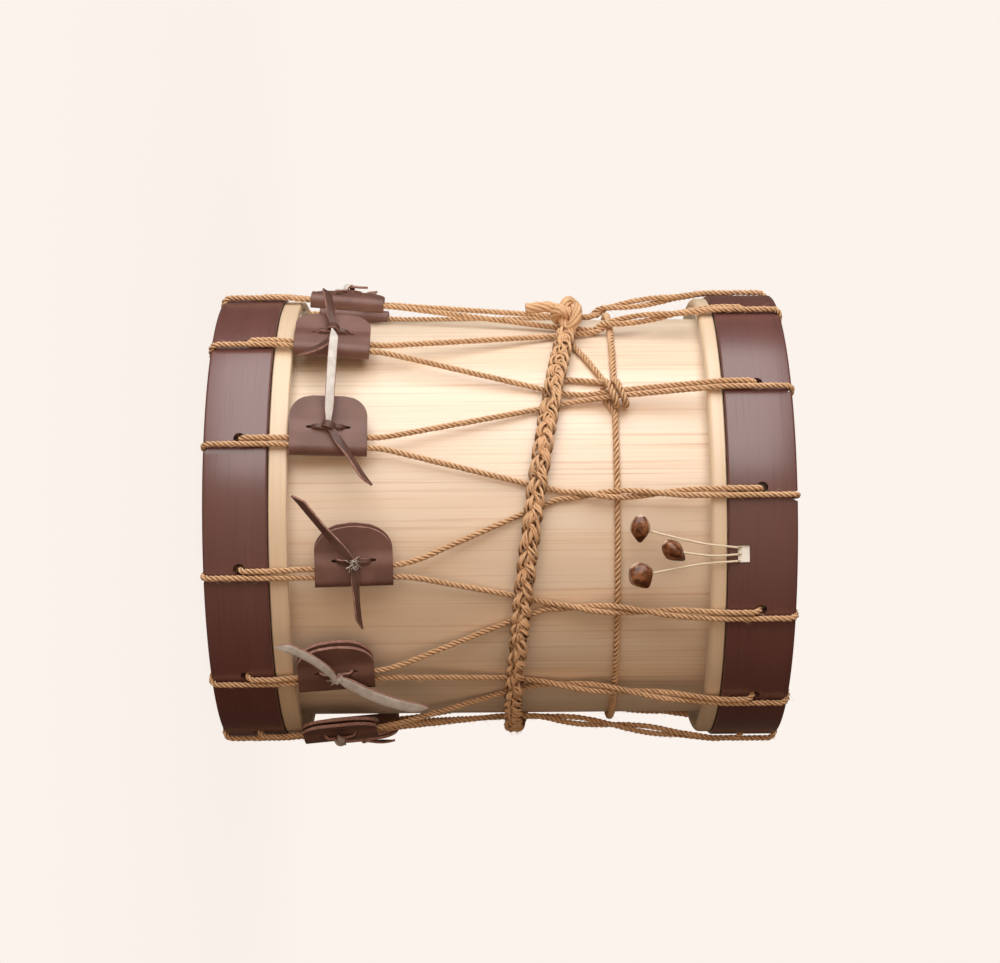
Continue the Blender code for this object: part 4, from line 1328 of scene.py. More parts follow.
@dataclass
class TensionEars:
    """Folded leather ears on the rope pairs, and the thongs that tie them shut."""

    shop: Workshop
    lacing: Lacing
    length: float = 0.042
    leather: float = 0.0018
    fold_centre: float = 0.003556
    flap_open: float = 0.0034
    flap_shut: float = 0.0012
    flap_close: float = 0.009
    flap_splay: float = 0.0006
    free_edge: float = 0.025644
    back_spare: float = 0.0013
    edge_round: float = 0.0003
    # Height and waves per metre of a flap's buckling, and the dent that the lace pulls into it
    wave: float = 0.0007
    waves: float = 55
    wave_least: float = -0.3
    dent: float = 0.00035
    dent_width: float = 0.0035
    dent_length: float = 0.012
    lace_u: float = 0.007237
    slit_span: float = 0.019
    slit_half_length: float = 0.0026
    slit_half_width: float = 0.0010
    punch_depth: float = 0.02
    thong: float = 0.0052
    thong_thick: float = 0.0015
    end_thick: float = 0.9
    knot_thick: float = 0.8
    bunch: float = 0.0030
    bunch_slack: float = 0.85
    in_slit: float = 0.0019
    slit_reach: float = 0.0016
    lace_roll_deg: float = 35.0
    lace_stand: float = 0.0012
    lace_step: float = 0.0007
    # The loop, out and back: how far it stands off and steps aside at the knot and half way, its start, its
    # sink at a slit, and how far before a slit it bends, in front and behind
    loop_stands: tuple = (0.0009, 0.0007, 0.0006, 0.0006)
    loop_asides: tuple = (0.0004, 0.0002, -0.0003, -0.0004)
    loop_start: float = 0.0008
    loop_sink: float = 0.0002
    loop_dives: tuple = (0.0018, 0.0022)
    # A lace end's arch in half turns, its narrow start, where it rolls over, and its slanting point
    end_arch: float = 0.6
    neck: float = 0.6
    neck_run: tuple = (0.001, 0.010)
    roll_run: tuple = (0.1, 0.6)
    point: float = 0.008
    point_most: float = 0.45
    point_past: float = 1.04
    point_slant: float = 0.35
    point_width: float = 0.0006
    # The band of a knot: its step above the crossing, its turn from the end, its arc, size and width
    knot_step: float = 0.0023
    knot_turn_deg: float = 75.0
    knot_arc: float = 0.62
    knot_sink: float = 0.0008
    knot_reach: float = 0.0030
    knot_height: float = 0.0027
    knot_widths: tuple = (0.0034, 0.0006)
    knot_stations: int = 19
    long_end: float = 0.05
    fray_radius: float = 0.00012
    fray_girth: float = 0.001
    fray_lift: tuple = (0.1, 0.9)
    fray_reach: tuple = (0.0015, 0.0042)
    fray_spread: tuple = (0.002, 0.003)
    section_steps: int = 76
    length_steps: int = 34
    flap_steps: int = 40
    fold_steps: int = 16
    end_steps: int = 34

    def build(self) -> None:
        """Build and dress the twelve ears with their laces."""
        for k in range(POINTS):
            place = self.ear_frame(k)
            self.build_ear(k, place)
            self.build_lace(k, place)

    def ear_frame(self, k: int) -> Matrix:
        """Frame of ear k: u tangential to the free edges, w outward, t along its rope pair."""
        angle = LOWER.angle(k)
        bottom = self.lacing.ear_bottom(k)
        outward = polar(1, angle, 0)
        along = (UP - outward * self.lacing.slope).normalized()
        across = -Vector((math.cos(angle), math.sin(angle), 0))
        made = Matrix((across, along.cross(across), along)).transposed().to_4x4()
        made.translation = polar(self.lacing.radius_below_belt(bottom), angle, bottom)
        return made

    def flap_level(self, u: float) -> float:
        """Height of the middle of the front flap above the ropes' plane: it closes past the ropes."""
        shut = eased(u, self.fold_centre, self.fold_centre + self.flap_close)
        past = max(u - self.fold_centre - self.flap_close, 0)
        splay = self.flap_splay * past / (self.free_edge - self.fold_centre)
        return self.flap_open + (self.flap_shut - self.flap_open) * shut + splay

    def ear_section(self) -> np.ndarray:
        """The ear's folded section at equal steps, from the front free edge round to the back one."""
        deep = self.free_edge + self.fold_centre
        flap = [self.free_edge - deep * n / self.flap_steps for n in range(self.flap_steps + 1)]
        front = [Vector((u, self.flap_level(u), 0)) for u in flap]
        fold = []
        for n in range(1, self.fold_steps):
            turn = math.pi * (0.5 + n / self.fold_steps)
            spoke = Vector((math.cos(turn), math.sin(turn), 0))
            fold.append(Vector((-self.fold_centre, 0, 0)) + self.flap_open * spoke)
        stretch = (self.free_edge + self.back_spare + self.fold_centre) / deep
        back = [
            Vector(((u + self.fold_centre) * stretch - self.fold_centre, -self.flap_level(u), 0))
            for u in reversed(flap)
        ]
        route = front + fold + back
        total = sum((b - a).length for a, b in zip(route, route[1:]))
        return resampled(route, total / self.section_steps)

    def build_ear(self, k: int, place: Matrix) -> None:
        """Fold one ear: a strip with round corners, thickened, punched and eased at its edges.

        Args:
            k: Number of the ear's rope pair.
            place: The ear's frame.
        """
        path = self.ear_section()
        steps = len(path) - 1
        corner_along, corner = CORNERS[k]
        shape = bmesh.new()
        bmesh.ops.create_grid(shape, x_segments=steps, y_segments=self.length_steps, size=0.5)
        for vert in shape.verts:
            n = round((vert.co.x + 0.5) * steps)
            share = vert.co.y + 0.5
            u, w, _ = path[n]
            front = n < steps / 2
            edge = self.free_edge if front else self.free_edge + self.back_spare
            past = max(u - (edge - corner), 0) / corner
            inset = corner_along * (1 - math.sqrt(max(1 - past ** 2, 0)))
            t = inset + share * (self.length - 2 * inset)
            loose = eased(u, self.fold_centre, self.free_edge)
            row = k * EAR_ROW + (0 if front else BACK_ROW)
            wave = noise.noise(Vector((u * self.waves, t * self.waves, row)))
            beside = (u - self.lace_u) / self.dent_width
            beyond = (t - self.length / 2) / self.dent_length
            dip = math.exp(-beside ** 2 - beyond ** 4)
            sign = 1 if front else -1
            w += sign * (self.wave * loose * max(wave, self.wave_least) - self.dent * dip)
            vert.co = (u, w, t)
        shape = self.thickened(shape)
        shape = carved(shape, self.slit_tool())
        shape.transform(place)
        name = f"tension_ear_{k + 1:02d}"
        finishes = [COWHIDE, CUT_EDGE]
        body = f"ear_{k + 1:02d}"
        self.shop.piece(f"{name}_leather", shape, finishes, body, "ear_leather", [name], HIDE_DEG)

    def thickened(self, sheet: Shape) -> Shape:
        """Give a sheet its leather's thickness, with the cut edge as a second finish, slightly rounded."""
        mesh = meshed("sheet", sheet)
        mesh.materials.append(self.shop.material(COWHIDE))
        mesh.materials.append(self.shop.material(CUT_EDGE))
        item = placed("sheet", mesh)
        wall = item.modifiers.new("wall", "SOLIDIFY")
        wall.thickness = self.leather
        wall.offset = 0.0
        wall.material_offset_rim = 1
        view = bpy.context.evaluated_depsgraph_get()
        shape = bmesh.new()
        shape.from_mesh(item.evaluated_get(view).to_mesh())
        bpy.data.objects.remove(item)
        bpy.data.meshes.remove(mesh)
        bmesh.ops.recalc_face_normals(shape, faces=shape.faces)
        rim = [
            edge for edge in shape.edges
            if len(edge.link_faces) == 2 and len({face.material_index for face in edge.link_faces}) == 2
        ]
        bmesh.ops.bevel(
            shape, geom=rim, offset=self.edge_round, offset_type="OFFSET", segments=2, profile=0.5,
            affect="EDGES", material=-1, clamp_overlap=True,
        )
        return shape

    def slit_tool(self) -> Shape:
        """Two lens-shaped punches through both flaps where the lace passes."""
        tool = bmesh.new()
        lie = Matrix.Rotation(math.pi / 2, 4, "X")
        for side in (-1, 1):
            place = Matrix.Translation((self.lace_u, 0, self.length / 2 + side * self.slit_span / 2))
            size = Matrix.Diagonal((self.slit_half_width, 1, self.slit_half_length, 1))
            bmesh.ops.create_cone(
                tool, cap_ends=True, segments=16, radius1=1, radius2=1, depth=self.punch_depth,
                matrix=place @ size @ lie,
            )
        return tool

    def wrapped(self, place: Matrix, point: Vector, radius: float) -> Vector:
        """Carry a point of the ear's frame round the drum's curve, by its distance from the slits."""
        turn = -(point.x - self.lace_u) / radius
        flat = place @ Vector((self.lace_u, point.y, point.z))
        return Matrix.Rotation(turn, 3, "Z") @ flat

    def strip(
        self, shape: Shape, place: Matrix, centres: np.ndarray, across: np.ndarray, widths: np.ndarray,
        outer: Face, thick: float,
    ) -> None:
        """Sweep a thong's flat section along a path in an ear's frame.

        Args:
            shape: The shape that the thong is added to.
            place: The ear's frame.
            centres: Points of the thong's middle.
            across: Directions of its width.
            widths: Width at each point.
            outer: The side that looks outward.
            thick: Its thickness.
        """
        profile = np.array(THONG_SECTION)
        top, bottom = (0, 1) if outer is Face.GRAIN else (1, 0)
        cut = 2
        bands = [cut, cut, top, top, top, cut, cut, cut, bottom, bottom, bottom, cut]
        along = directions(centres)
        across = across - along * np.sum(across * along, axis=1)[:, None]
        across = across / np.linalg.norm(across, axis=1)[:, None]
        normal = np.cross(across, along)
        facing = np.sign(np.sum(normal * np.array([0, 1, 0]), axis=1))[:, None]
        normal = normal * np.where(facing == 0, 1, facing)
        rings = (
            centres[:, None]
            + profile[None, :, :1] * (widths / 2)[:, None, None] * across[:, None]
            + profile[None, :, 1:] * (thick / 2) * normal[:, None]
        )
        radius = place.translation.xy.length + self.flap_open
        bent = np.array([[self.wrapped(place, Vector(point), radius) for point in ring] for ring in rings])
        roll_tube(shape, bent, 2 * self.thong, None, bands)

    def lace_loop(self, shape: Shape, place: Matrix, front: float, draw: random.Random) -> None:
        """The thong's middle: from the knot through one slit, behind the ear, and back to the knot."""
        half = self.slit_span / 2
        middle = self.length / 2
        stands = [front + stand for stand in self.loop_stands]
        asides = self.loop_asides
        sunk = front - self.loop_sink
        before, behind = self.loop_dives
        stops = [
            (stands[0], self.loop_start, asides[0]), (stands[1], half / 2, asides[1]),
            (sunk, half - before, 0), (0, half, 0),
            (-front, half - behind, 0), (-front, 0, 0), (-front, behind - half, 0),
            (0, -half, 0), (sunk, before - half, 0),
            (stands[2], -half / 2, asides[2]), (stands[3], -self.loop_start, asides[3]),
        ]
        corners = [Vector((self.lace_u + aside, w, middle + t)) for w, t, aside in stops]
        route = curved(corners, per_span=6)
        centres = resampled(route, self.lace_step)
        count = len(centres)
        most = self.lace_roll_deg
        roll = np.radians(draw.uniform(-most, most)) * np.sin(np.linspace(0, TURN, count))
        across = np.stack([np.cos(roll), np.sin(roll), np.zeros(count)], axis=1)
        inside = np.abs(np.abs(centres[:, 2] - middle) - half) < self.slit_reach
        widths = np.where(inside, self.in_slit, self.bunch * self.bunch_slack)
        widths = np.convolve(np.pad(widths, 2, mode="edge"), np.ones(5) / 5, mode="valid")
        self.strip(shape, place, centres, across, widths, Face.GRAIN, self.thong_thick)

    def lace_end(self, shape: Shape, place: Matrix, end: LaceEnd, level: float) -> None:
        """One free end of the thong, from the knot to its slanting point.

        Args:
            shape: The shape that the end is added to.
            place: The ear's frame.
            end: Heading, length and rise of the end.
            level: Its height above the ropes' plane at the knot.
        """
        count = self.end_steps
        point = Vector((self.lace_u, 0, self.length / 2))
        centres = []
        across = []
        widths = []
        for n in range(count + 1):
            share = n / count
            heading = math.radians(end.heading_deg + end.curl_deg * share)
            ahead = Vector((math.sin(heading), 0, math.cos(heading)))
            if n:
                point = point + ahead * (end.length / count)
            lift = level + end.rise * math.sin(math.pi * self.end_arch * share)
            flat = Vector((math.cos(heading), 0, -math.sin(heading)))
            roll = math.radians(end.roll_deg) * eased(share, *self.roll_run)
            wide = end.width * (self.neck + (1 - self.neck) * eased(share * end.length, *self.neck_run))
            tip = 1 - eased(share, 1 - min(self.point / end.length, self.point_most), self.point_past)
            slant = flat * (end.width * self.point_slant * (1 - tip))
            centres.append(Vector((point.x, lift, point.z)) + slant)
            across.append(flat * math.cos(roll) + Vector((0, 1, 0)) * math.sin(roll))
            widths.append(max(wide * tip, self.point_width))
        self.strip(
            shape, place, np.array([tuple(c) for c in centres]), np.array([tuple(a) for a in across]),
            np.array(widths), end.face, self.thong_thick * self.end_thick,
        )

    def lace_knot(self, shape: Shape, place: Matrix, level: float, end: LaceEnd) -> None:
        """The half hitch over the crossing, a short band across the lace's over end."""
        outer = Face.GRAIN if end.length > self.long_end else end.face
        heading = math.radians(end.heading_deg + self.knot_turn_deg)
        ahead = Vector((math.sin(heading), 0, math.cos(heading)))
        beside = Vector((math.cos(heading), 0, -math.sin(heading)))
        turns = np.linspace(-self.knot_arc * math.pi, self.knot_arc * math.pi, self.knot_stations)
        middle = Vector((self.lace_u, level - self.knot_sink, self.length / 2))
        centres = []
        for t in turns:
            rise = Vector((0, self.knot_height * math.cos(t), 0))
            centres.append(tuple(middle + ahead * self.knot_reach * math.sin(t) + rise))
        across = np.array([tuple(beside)] * len(turns))
        narrow, bulge = self.knot_widths
        widths = narrow + bulge * np.cos(turns)
        thick = self.thong_thick * self.knot_thick
        self.strip(shape, place, np.array(centres), across, widths, outer, thick)

    def frayed(self, shape: Shape, place: Matrix, level: float, draw: random.Random, count: int) -> None:
        """Pale fibres torn out of the thong at the knot; each has a dozen faces."""
        ring = section(3) * self.fray_radius
        beside, along = self.fray_spread
        for _ in range(count):
            turn = draw.uniform(0, TURN)
            lean = Vector((math.sin(turn), draw.uniform(*self.fray_lift), math.cos(turn)))
            start = Vector((
                self.lace_u + draw.uniform(-beside, beside),
                level + self.lace_stand,
                self.length / 2 + draw.uniform(-along, along),
            ))
            reach = draw.uniform(*self.fray_reach)
            side = np.array(lean.orthogonal().normalized())
            other = np.cross(np.array(lean.normalized()), side)
            stops = [np.array(place @ (start + lean * reach * t)) for t in (0, 0.5, 1)]
            side = np.array(place.to_3x3() @ Vector(side))
            other = np.array(place.to_3x3() @ Vector(other))
            rings = np.stack([stop + ring[:, :1] * side + ring[:, 1:] * other for stop in stops])
            roll_tube(shape, rings, self.fray_girth, None, [Face.FLESH.value] * 3)

    def build_lace(self, k: int, place: Matrix) -> None:
        """Tie one thong: its loop through the slits, the knot and the two free ends.

        Args:
            k: Number of the ear's rope pair.
            place: The ear's frame.
        """
        under, over = LACE_ENDS[k]
        draw = random.Random(100 + k)
        front = self.flap_level(self.lace_u - self.bunch / 2) + self.leather / 2 + self.thong_thick / 2
        low = front + self.lace_stand
        shape = bmesh.new()
        self.lace_loop(shape, place, front, draw)
        self.lace_end(shape, place, under, low)
        self.lace_end(shape, place, over, low + self.knot_step)
        self.lace_knot(shape, place, low + self.knot_step / 2, over)
        self.frayed(shape, place, low + self.knot_step, draw, FRAYS.get(k, 0))
        name = f"ear_lace_{k + 1:02d}"
        # The thongs' grain side is drawn darker than the ears, which is painted shade
        finishes = [THONG_PAINTED_SHADE, NAP, CUT_EDGE]
        body = f"ear_{k + 1:02d}"
        self.shop.piece(f"{name}_thong", shape, finishes, body, "thong_leather", [name], HIDE_DEG)


@dataclass
class MiddleCords:
    """The girdle cord with its hitch, the plaited belt, the belt's knot and the tie between them."""

    shop: Workshop
    lacing: Lacing
    cord: Cordage = Cordage(0.0039, 0.0100)
    tie: Cordage = Cordage(0.0036, 0.0092)
    hank: Cordage = Cordage(
        0.0064, 0.034, strands=6, strand_share=0.2, hairs_per_metre=700, unevenness=0.25
    )
    fuzz: Cordage = Cordage(0.0088, 0.02, hairs_per_metre=1700)
    shell_radius: float = 0.1163
    girdle_radius: float = 0.1188
    hitch_reach: float = 0.0053
    hitch_pitch: float = 0.0050
    hitch_turns: int = 2
    hitch_slant: float = 0.0022
    hitch_steps: int = 24
    girdle_gap: float = 0.0006
    girdle_steps: int = 120
    belt_radius: float = 0.1244
    belt_step: float = 0.0013
    belt_sway: float = 0.0029
    belt_lift: float = 0.0016
    belt_period: float = 0.030
    bundle: tuple = (0.0021, 0.0013)
    bundles: int = 3
    yarns: int = 7
    yarn: float = 0.0015
    yarn_lay: float = 0.021
    # Waves of unevenness per metre in the plait and in its yarns, and the turn that one unit of each gives
    belt_waves: float = 60
    belt_gain: float = 6
    yarn_waves: float = 110
    yarn_gain: float = 9
    # Painted light on the plait: the level of the yarns' colour, and the painted light that standing proud
    # and lying on top add to it; yarns that lie low take the painted furrow shade
    painted_light_level: float = 0.60
    painted_light_gain: float = 0.26
    knot_size: tuple = (0.026, 0.020, 0.016)
    knot_hold: float = 0.4
    knot_stand: float = 0.0027
    knot_fill: float = 2.8
    knot_steps: int = 96
    # The stub end's route from the knot's middle: backward, outward and downward
    stub: tuple = ((0.002, 0.002, 0.003), (0.003, 0.0035, 0.012), (0.002, 0.003, 0.024))
    tie_belt_degs: tuple = (-54.0, -39.5)
    tie_stand: float = 0.0023
    tie_to_hitch: float = 0.0026
    tie_below_girdle: float = 0.0048
    tie_above_belt: float = 0.0045
    tie_bends: tuple = (0.004, 0.03)

    def build(self) -> None:
        """Build and dress the cords round the drum's middle."""
        self.build_girdle()
        self.build_belt()
        self.build_knot()
        self.build_tie()

    def pair_angle(self) -> float:
        """Angle of the rope pair that the girdle is hitched on."""
        return math.remainder(UPPER.angle(self.lacing.hitched_pair), TURN)

    def build_girdle(self) -> None:
        """A cord hitched round one rope pair, then round the shell under the others."""
        lace = self.lacing
        pair = self.pair_angle()
        top = UPPER.z(UPPER.hoop_width)
        rise = (lace.outside - lace.at_girdle) / (top - lace.girdle_z)
        route = []
        per_turn = self.hitch_steps
        for n in range(self.hitch_turns * per_turn + 1):
            turn = TURN * n / per_turn
            above = self.hitch_pitch * (self.hitch_turns / 2 - n / per_turn)
            radius = lace.at_girdle + rise * above - self.hitch_reach * math.cos(turn)
            reach = lace.pair_half * max(-1, min(1, 2 * math.sin(turn)))
            aside = self.hitch_reach * math.sin(turn) + reach
            slant = self.hitch_slant * math.sin(turn)
            route.append(polar(radius, pair + aside / radius, lace.girdle_z + above + slant))
        reach = lace.pair_half + self.hitch_reach
        lap = TURN - (reach + self.cord.diameter + self.girdle_gap) / self.girdle_radius
        lead = (reach + self.cord.diameter / 2) / self.girdle_radius
        for n in range(self.girdle_steps + 1):
            angle = pair + lead + (lap - lead) * n / self.girdle_steps
            route.append(polar(self.girdle_radius, angle, lace.girdle_z))
        shape = bmesh.new()
        self.cord.lay_up(shape, route, seed=41)
        self.shop.piece("girdle_rope", shape, [JUTE], "drum", "jute", ["girdle_cord"], CORD_DEG)

    def build_belt(self) -> None:
        """A flat plait of three bundles, each of a few thin yarns with a long, loose lay."""
        knot = math.radians(self.lacing.knot_deg)
        half = self.knot_size[0] * self.knot_hold / self.belt_radius
        sweep = TURN - 2 * half
        count = int(self.belt_radius * sweep / self.belt_step)
        angles = knot + half + sweep * np.arange(count + 1) / count
        outward = np.array([tuple(polar(1, a, 0)) for a in angles])
        middle = np.array([tuple(polar(self.belt_radius, a, self.lacing.belt_height(a))) for a in angles])
        along = directions(middle)
        upward = np.cross(outward, along)
        upward = upward * np.sign(upward[:, 2:3])
        travelled = np.arange(count + 1) * np.linalg.norm(middle[1] - middle[0])
        uneven = self.hank.drift(travelled, self.belt_waves, seed=53)
        shape = bmesh.new()
        ring = section(5) * (self.yarn / 2)
        wide, thick = self.bundle
        for strand in range(self.bundles):
            phase = TURN * (travelled / self.belt_period + strand / self.bundles)
            phase = phase + self.belt_gain * uneven
            sway = self.belt_sway * np.sin(phase)
            lift = self.belt_lift * np.sin(2 * phase)
            centre = middle + upward * sway[:, None] + outward * lift[:, None]
            ahead = directions(centre)
            across = np.cross(ahead, outward)
            across = across / np.linalg.norm(across, axis=1)[:, None]
            over = np.cross(across, ahead)
            for yarn in range(self.yarns):
                turn = TURN * (travelled / self.yarn_lay + yarn / self.yarns)
                loose = self.hank.drift(travelled, self.yarn_waves, seed=59 + 7 * strand + yarn)
                turn = turn + self.yarn_gain * loose
                spoke = np.cos(turn)[:, None] * across * wide + np.sin(turn)[:, None] * over * thick
                rings = swept(centre + spoke, across, over, ring)
                # Painted light and shade: yarns that stand proud or lie on top of the plait are drawn
                # lighter, the rest darker
                proud = np.sum((rings - centre[:, None]) * over[:, None], axis=2) / (thick + self.yarn / 2)
                crown = self.painted_light_level + self.painted_light_gain * proud
                crown = crown + self.painted_light_gain * np.sin(2 * phase)[:, None]
                roll_tube(shape, rings, TURN * self.yarn / 2, crown)
        path = resampled([Vector(point) for point in middle], self.fuzz.step)
        self.fuzz.add_hairs(shape, path, *carried_frames(path), seed=53)
        self.shop.piece("plaited_belt_rope", shape, [JUTE], "drum", "jute", ["braided_belt"], CORD_DEG)

    def build_knot(self) -> None:
        """The lump where the belt's ends are tied: a loose bundle turned through itself, and a stub end."""
        angle = math.radians(self.lacing.knot_deg)
        outward = polar(1, angle, 0)
        forward = Vector((math.cos(angle), math.sin(angle), 0))
        inner = self.lacing.at_belt + self.knot_stand
        height = self.lacing.belt_height(angle)
        centre = polar(inner + self.knot_size[2] / 2, angle, height)
        room = [(size - self.hank.diameter) / 2 for size in self.knot_size]
        route = []
        for n in range(self.knot_steps + 1):
            t = TURN * n / self.knot_steps
            wide = (math.sin(t) + 2 * math.sin(2 * t)) / self.knot_fill
            tall = (math.cos(t) - 2 * math.cos(2 * t)) / self.knot_fill
            deep = -math.sin(3 * t)
            route.append(centre + forward * room[0] * wide + UP * room[1] * tall + outward * room[2] * deep)
        shape = bmesh.new()
        self.hank.lay_up(shape, route, seed=61)
        stub = [centre - forward * back + outward * out - UP * down for back, out, down in self.stub]
        self.hank.lay_up(shape, curved(stub), seed=67)
        self.shop.piece("belt_knot_rope", shape, [JUTE], "drum", "jute", ["belt_knot"], CORD_DEG)

    def build_tie(self) -> None:
        """A cord on the shell from the belt's upper side to the girdle's hitch and back, in a V."""
        pair = self.pair_angle()
        radius = self.shell_radius + self.tie_stand
        hitch = self.lacing.pair_half + self.hitch_reach + self.cord.diameter / 2 + self.tie_to_hitch
        tip = (pair - hitch / radius, self.lacing.girdle_z - self.tie_below_girdle)
        legs = []
        for low in (math.radians(place) for place in self.tie_belt_degs):
            start = self.lacing.belt_height(low) + self.tie_above_belt
            legs.append([
                polar(radius, low + (tip[0] - low) * share, start + (tip[1] - start) * share)
                for share in (0, 0.25, 0.5, 0.75)
            ])
        route = [*legs[0], polar(radius, *tip), *reversed(legs[1])]
        shape = bmesh.new()
        self.tie.lay_up(shape, rounded(route, *self.tie_bends), seed=71)
        self.shop.piece("belt_tie_rope", shape, [JUTE], "drum", "jute", ["belt_tie"], CORD_DEG)


@dataclass
class Rattles:
    """Three seed nuts on strings that hang over the lip of the window."""

    shop: Workshop
    lip_radius: float = 0.1312
    pitch: float = 0.0037
    string: float = 0.0012
    string_step: float = 0.0008
    string_sides: int = 8
    # A string's bow along the lip and outward, and where along the string it is
    bow: tuple = (0.0014, 0.0006)
    bow_at: tuple = (0.35, 0.7)
    drops: tuple = (0.0524, 0.0343, 0.0521)
    shifts: tuple = (-0.0108, -0.0022, 0.0075)
    turns_deg: tuple = (-80.0, -38.0, -66.0)
    spins_deg: tuple = (35.0, 75.0, 20.0)
    nut_widths: tuple = (0.0105, 0.0105, 0.0135)
    nut_length: float = 0.0155
    ridge_shares: tuple = (0.75, 0.35, 0.6)
    ridges: int = 3
    lobe: float = 0.13
    tip_taper: float = 0.3
    taper_run: tuple = (-0.1, 1.0)
    end_taper: float = 0.1
    # Heights and spreads on the unit seed between which its scar, its dark tip and its ridges come in
    scar_cut: tuple = (0.78, 0.92)
    tip_cut: tuple = (0.3, 0.95)
    ridge_cut: tuple = (0.93, 1.0)
    hoop_middle: float = 0.12725
    bight: Cordage = Cordage(0.0020, 0.006, strands=2, step=0.0005, hairs_per_metre=0)
    bight_half: float = 0.0046
    bight_stand: float = 0.0013
    over: Cordage = Cordage(0.0012, 0.004, strands=2, step=0.0004, hairs_per_metre=0)
    # A string's turn over the lip: its heights past the bight, its steps out from the bight and in from the
    # lip, and the height of its end above the lip
    over_rises: tuple = (0.0010, 0.0004, -0.0006)
    over_steps: tuple = (0.0022, 0.0004)
    over_end: float = 0.0002

    def build(self) -> None:
        """Build and dress the hitch, the strings and the nuts."""
        self.build_hitch()
        for index in range(len(self.drops)):
            self.build_rattle(index)

    def top(self, index: int) -> Vector:
        """Where a string leaves the window's lip."""
        shift = self.pitch * (index - 1)
        return polar(self.lip_radius, WINDOW.angle() + shift / self.lip_radius, WINDOW.lip_z())

    def aside(self) -> Vector:
        """Direction along the lip."""
        angle = WINDOW.angle()
        return Vector((math.cos(angle), math.sin(angle), 0))

    def nut_shape(self, width: float, pale: float) -> Shape:
        """A three-ridged seed: round with a pale scar at one end, drawn out to a dark tip at the other.

        Args:
            width: Width across the ridges.
            pale: Share of the ridges' paleness that isn't worn off.

        Returns:
            The seed along Z, its tip up.
        """
        shape = bmesh.new()
        crown = shape.verts.layers.float.new("crown")
        tip = shape.verts.layers.float.new("tip")
        bmesh.ops.create_uvsphere(shape, u_segments=60, v_segments=36, radius=1)
        for vert in shape.verts:
            x, y, z = vert.co
            around = math.atan2(y, x)
            spread = abs(math.cos(self.ridges / 2 * around))
            girdle = math.sqrt(max(1 - z * z, 0))
            swell = 1 - self.lobe + 2 * self.lobe * spread ** 3 * girdle
            taper = 1 - self.tip_taper * eased(z, *self.taper_run) - self.end_taper * z * z
            half = swell * taper * width / 2
            scar = eased(-z, *self.scar_cut)
            vert[crown] = max(pale * eased(spread, *self.ridge_cut) * girdle, scar)
            vert[tip] = eased(z, *self.tip_cut)
            vert.co = (x * half, y * half, z * self.nut_length / 2)
        return shape

    def build_rattle(self, index: int) -> None:
        """One string with its nut: the string runs down into the nut's middle.

        Args:
            index: Number of the rattle, from the drum's left.
        """
        top = self.top(index)
        aside = self.aside()
        outward = polar(1, WINDOW.angle(), 0)
        centre = top + aside * self.shifts[index] - UP * self.drops[index]
        up = (top - centre).normalized()
        turn = Matrix.Rotation(math.radians(self.turns_deg[index]), 3, outward)
        axis = turn @ up
        across = outward.cross(axis).normalized()
        place = Matrix((across, axis.cross(across), axis)).transposed().to_4x4()
        spin = Matrix.Rotation(math.radians(self.spins_deg[index]), 4, "Z")
        place.translation = centre
        body = f"rattle_{index + 1}"
        shape = self.nut_shape(self.nut_widths[index], self.ridge_shares[index])
        shape.transform(place @ spin)
        name = f"rattle_nut_{index + 1}"
        nut = self.shop.piece(f"{name}_seed", shape, [SEED], body, "seed_nut", [name], CORD_DEG)
        sideways, out = self.bow
        early, late = self.bow_at
        bow = aside * sideways * (1 if self.shifts[index] < 0 else -1) + outward * out
        hang = centre - top
        route = curved([top, top + hang * early + bow, top + hang * late + bow * late, centre])
        path = resampled(route, self.string_step)
        _, side, other = carried_frames(path)
        ring = section(self.string_sides) * (self.string / 2)
        shape = bmesh.new()
        roll_tube(shape, swept(path, side, other, ring), TURN * self.string / 2)
        name = f"rattle_string_{index + 1}"
        cord = self.shop.piece(f"{name}_twine", shape, [TWINE], body, "twine", [name], CORD_DEG)

    def build_hitch(self) -> None:
        """The bight on the lip that the strings are tied to, with each string's turn over the lip."""
        angle = WINDOW.angle()
        shape = bmesh.new()
        z = WINDOW.lip_z() + self.bight_stand
        half = self.bight_half / self.hoop_middle
        route = [polar(self.hoop_middle, angle + half * share, z) for share in (-1, -0.5, 0, 0.5, 1)]
        self.bight.lay_up(shape, curved(route), seed=81)
        past, short = self.over_steps
        outs = (self.hoop_middle, self.hoop_middle + past, self.lip_radius - short, self.lip_radius)
        heights = [*(z + rise for rise in self.over_rises), WINDOW.lip_z() + self.over_end]
        for index in range(len(self.drops)):
            turn = angle + self.pitch * (index - 1) / self.lip_radius
            route = [polar(out, turn, height) for out, height in zip(outs, heights)]
            self.over.lay_up(shape, curved(route), seed=83 + index)
        self.shop.piece("string_hitch_twine", shape, [TWINE], "drum", "twine", ["string_hitch"], CORD_DEG)


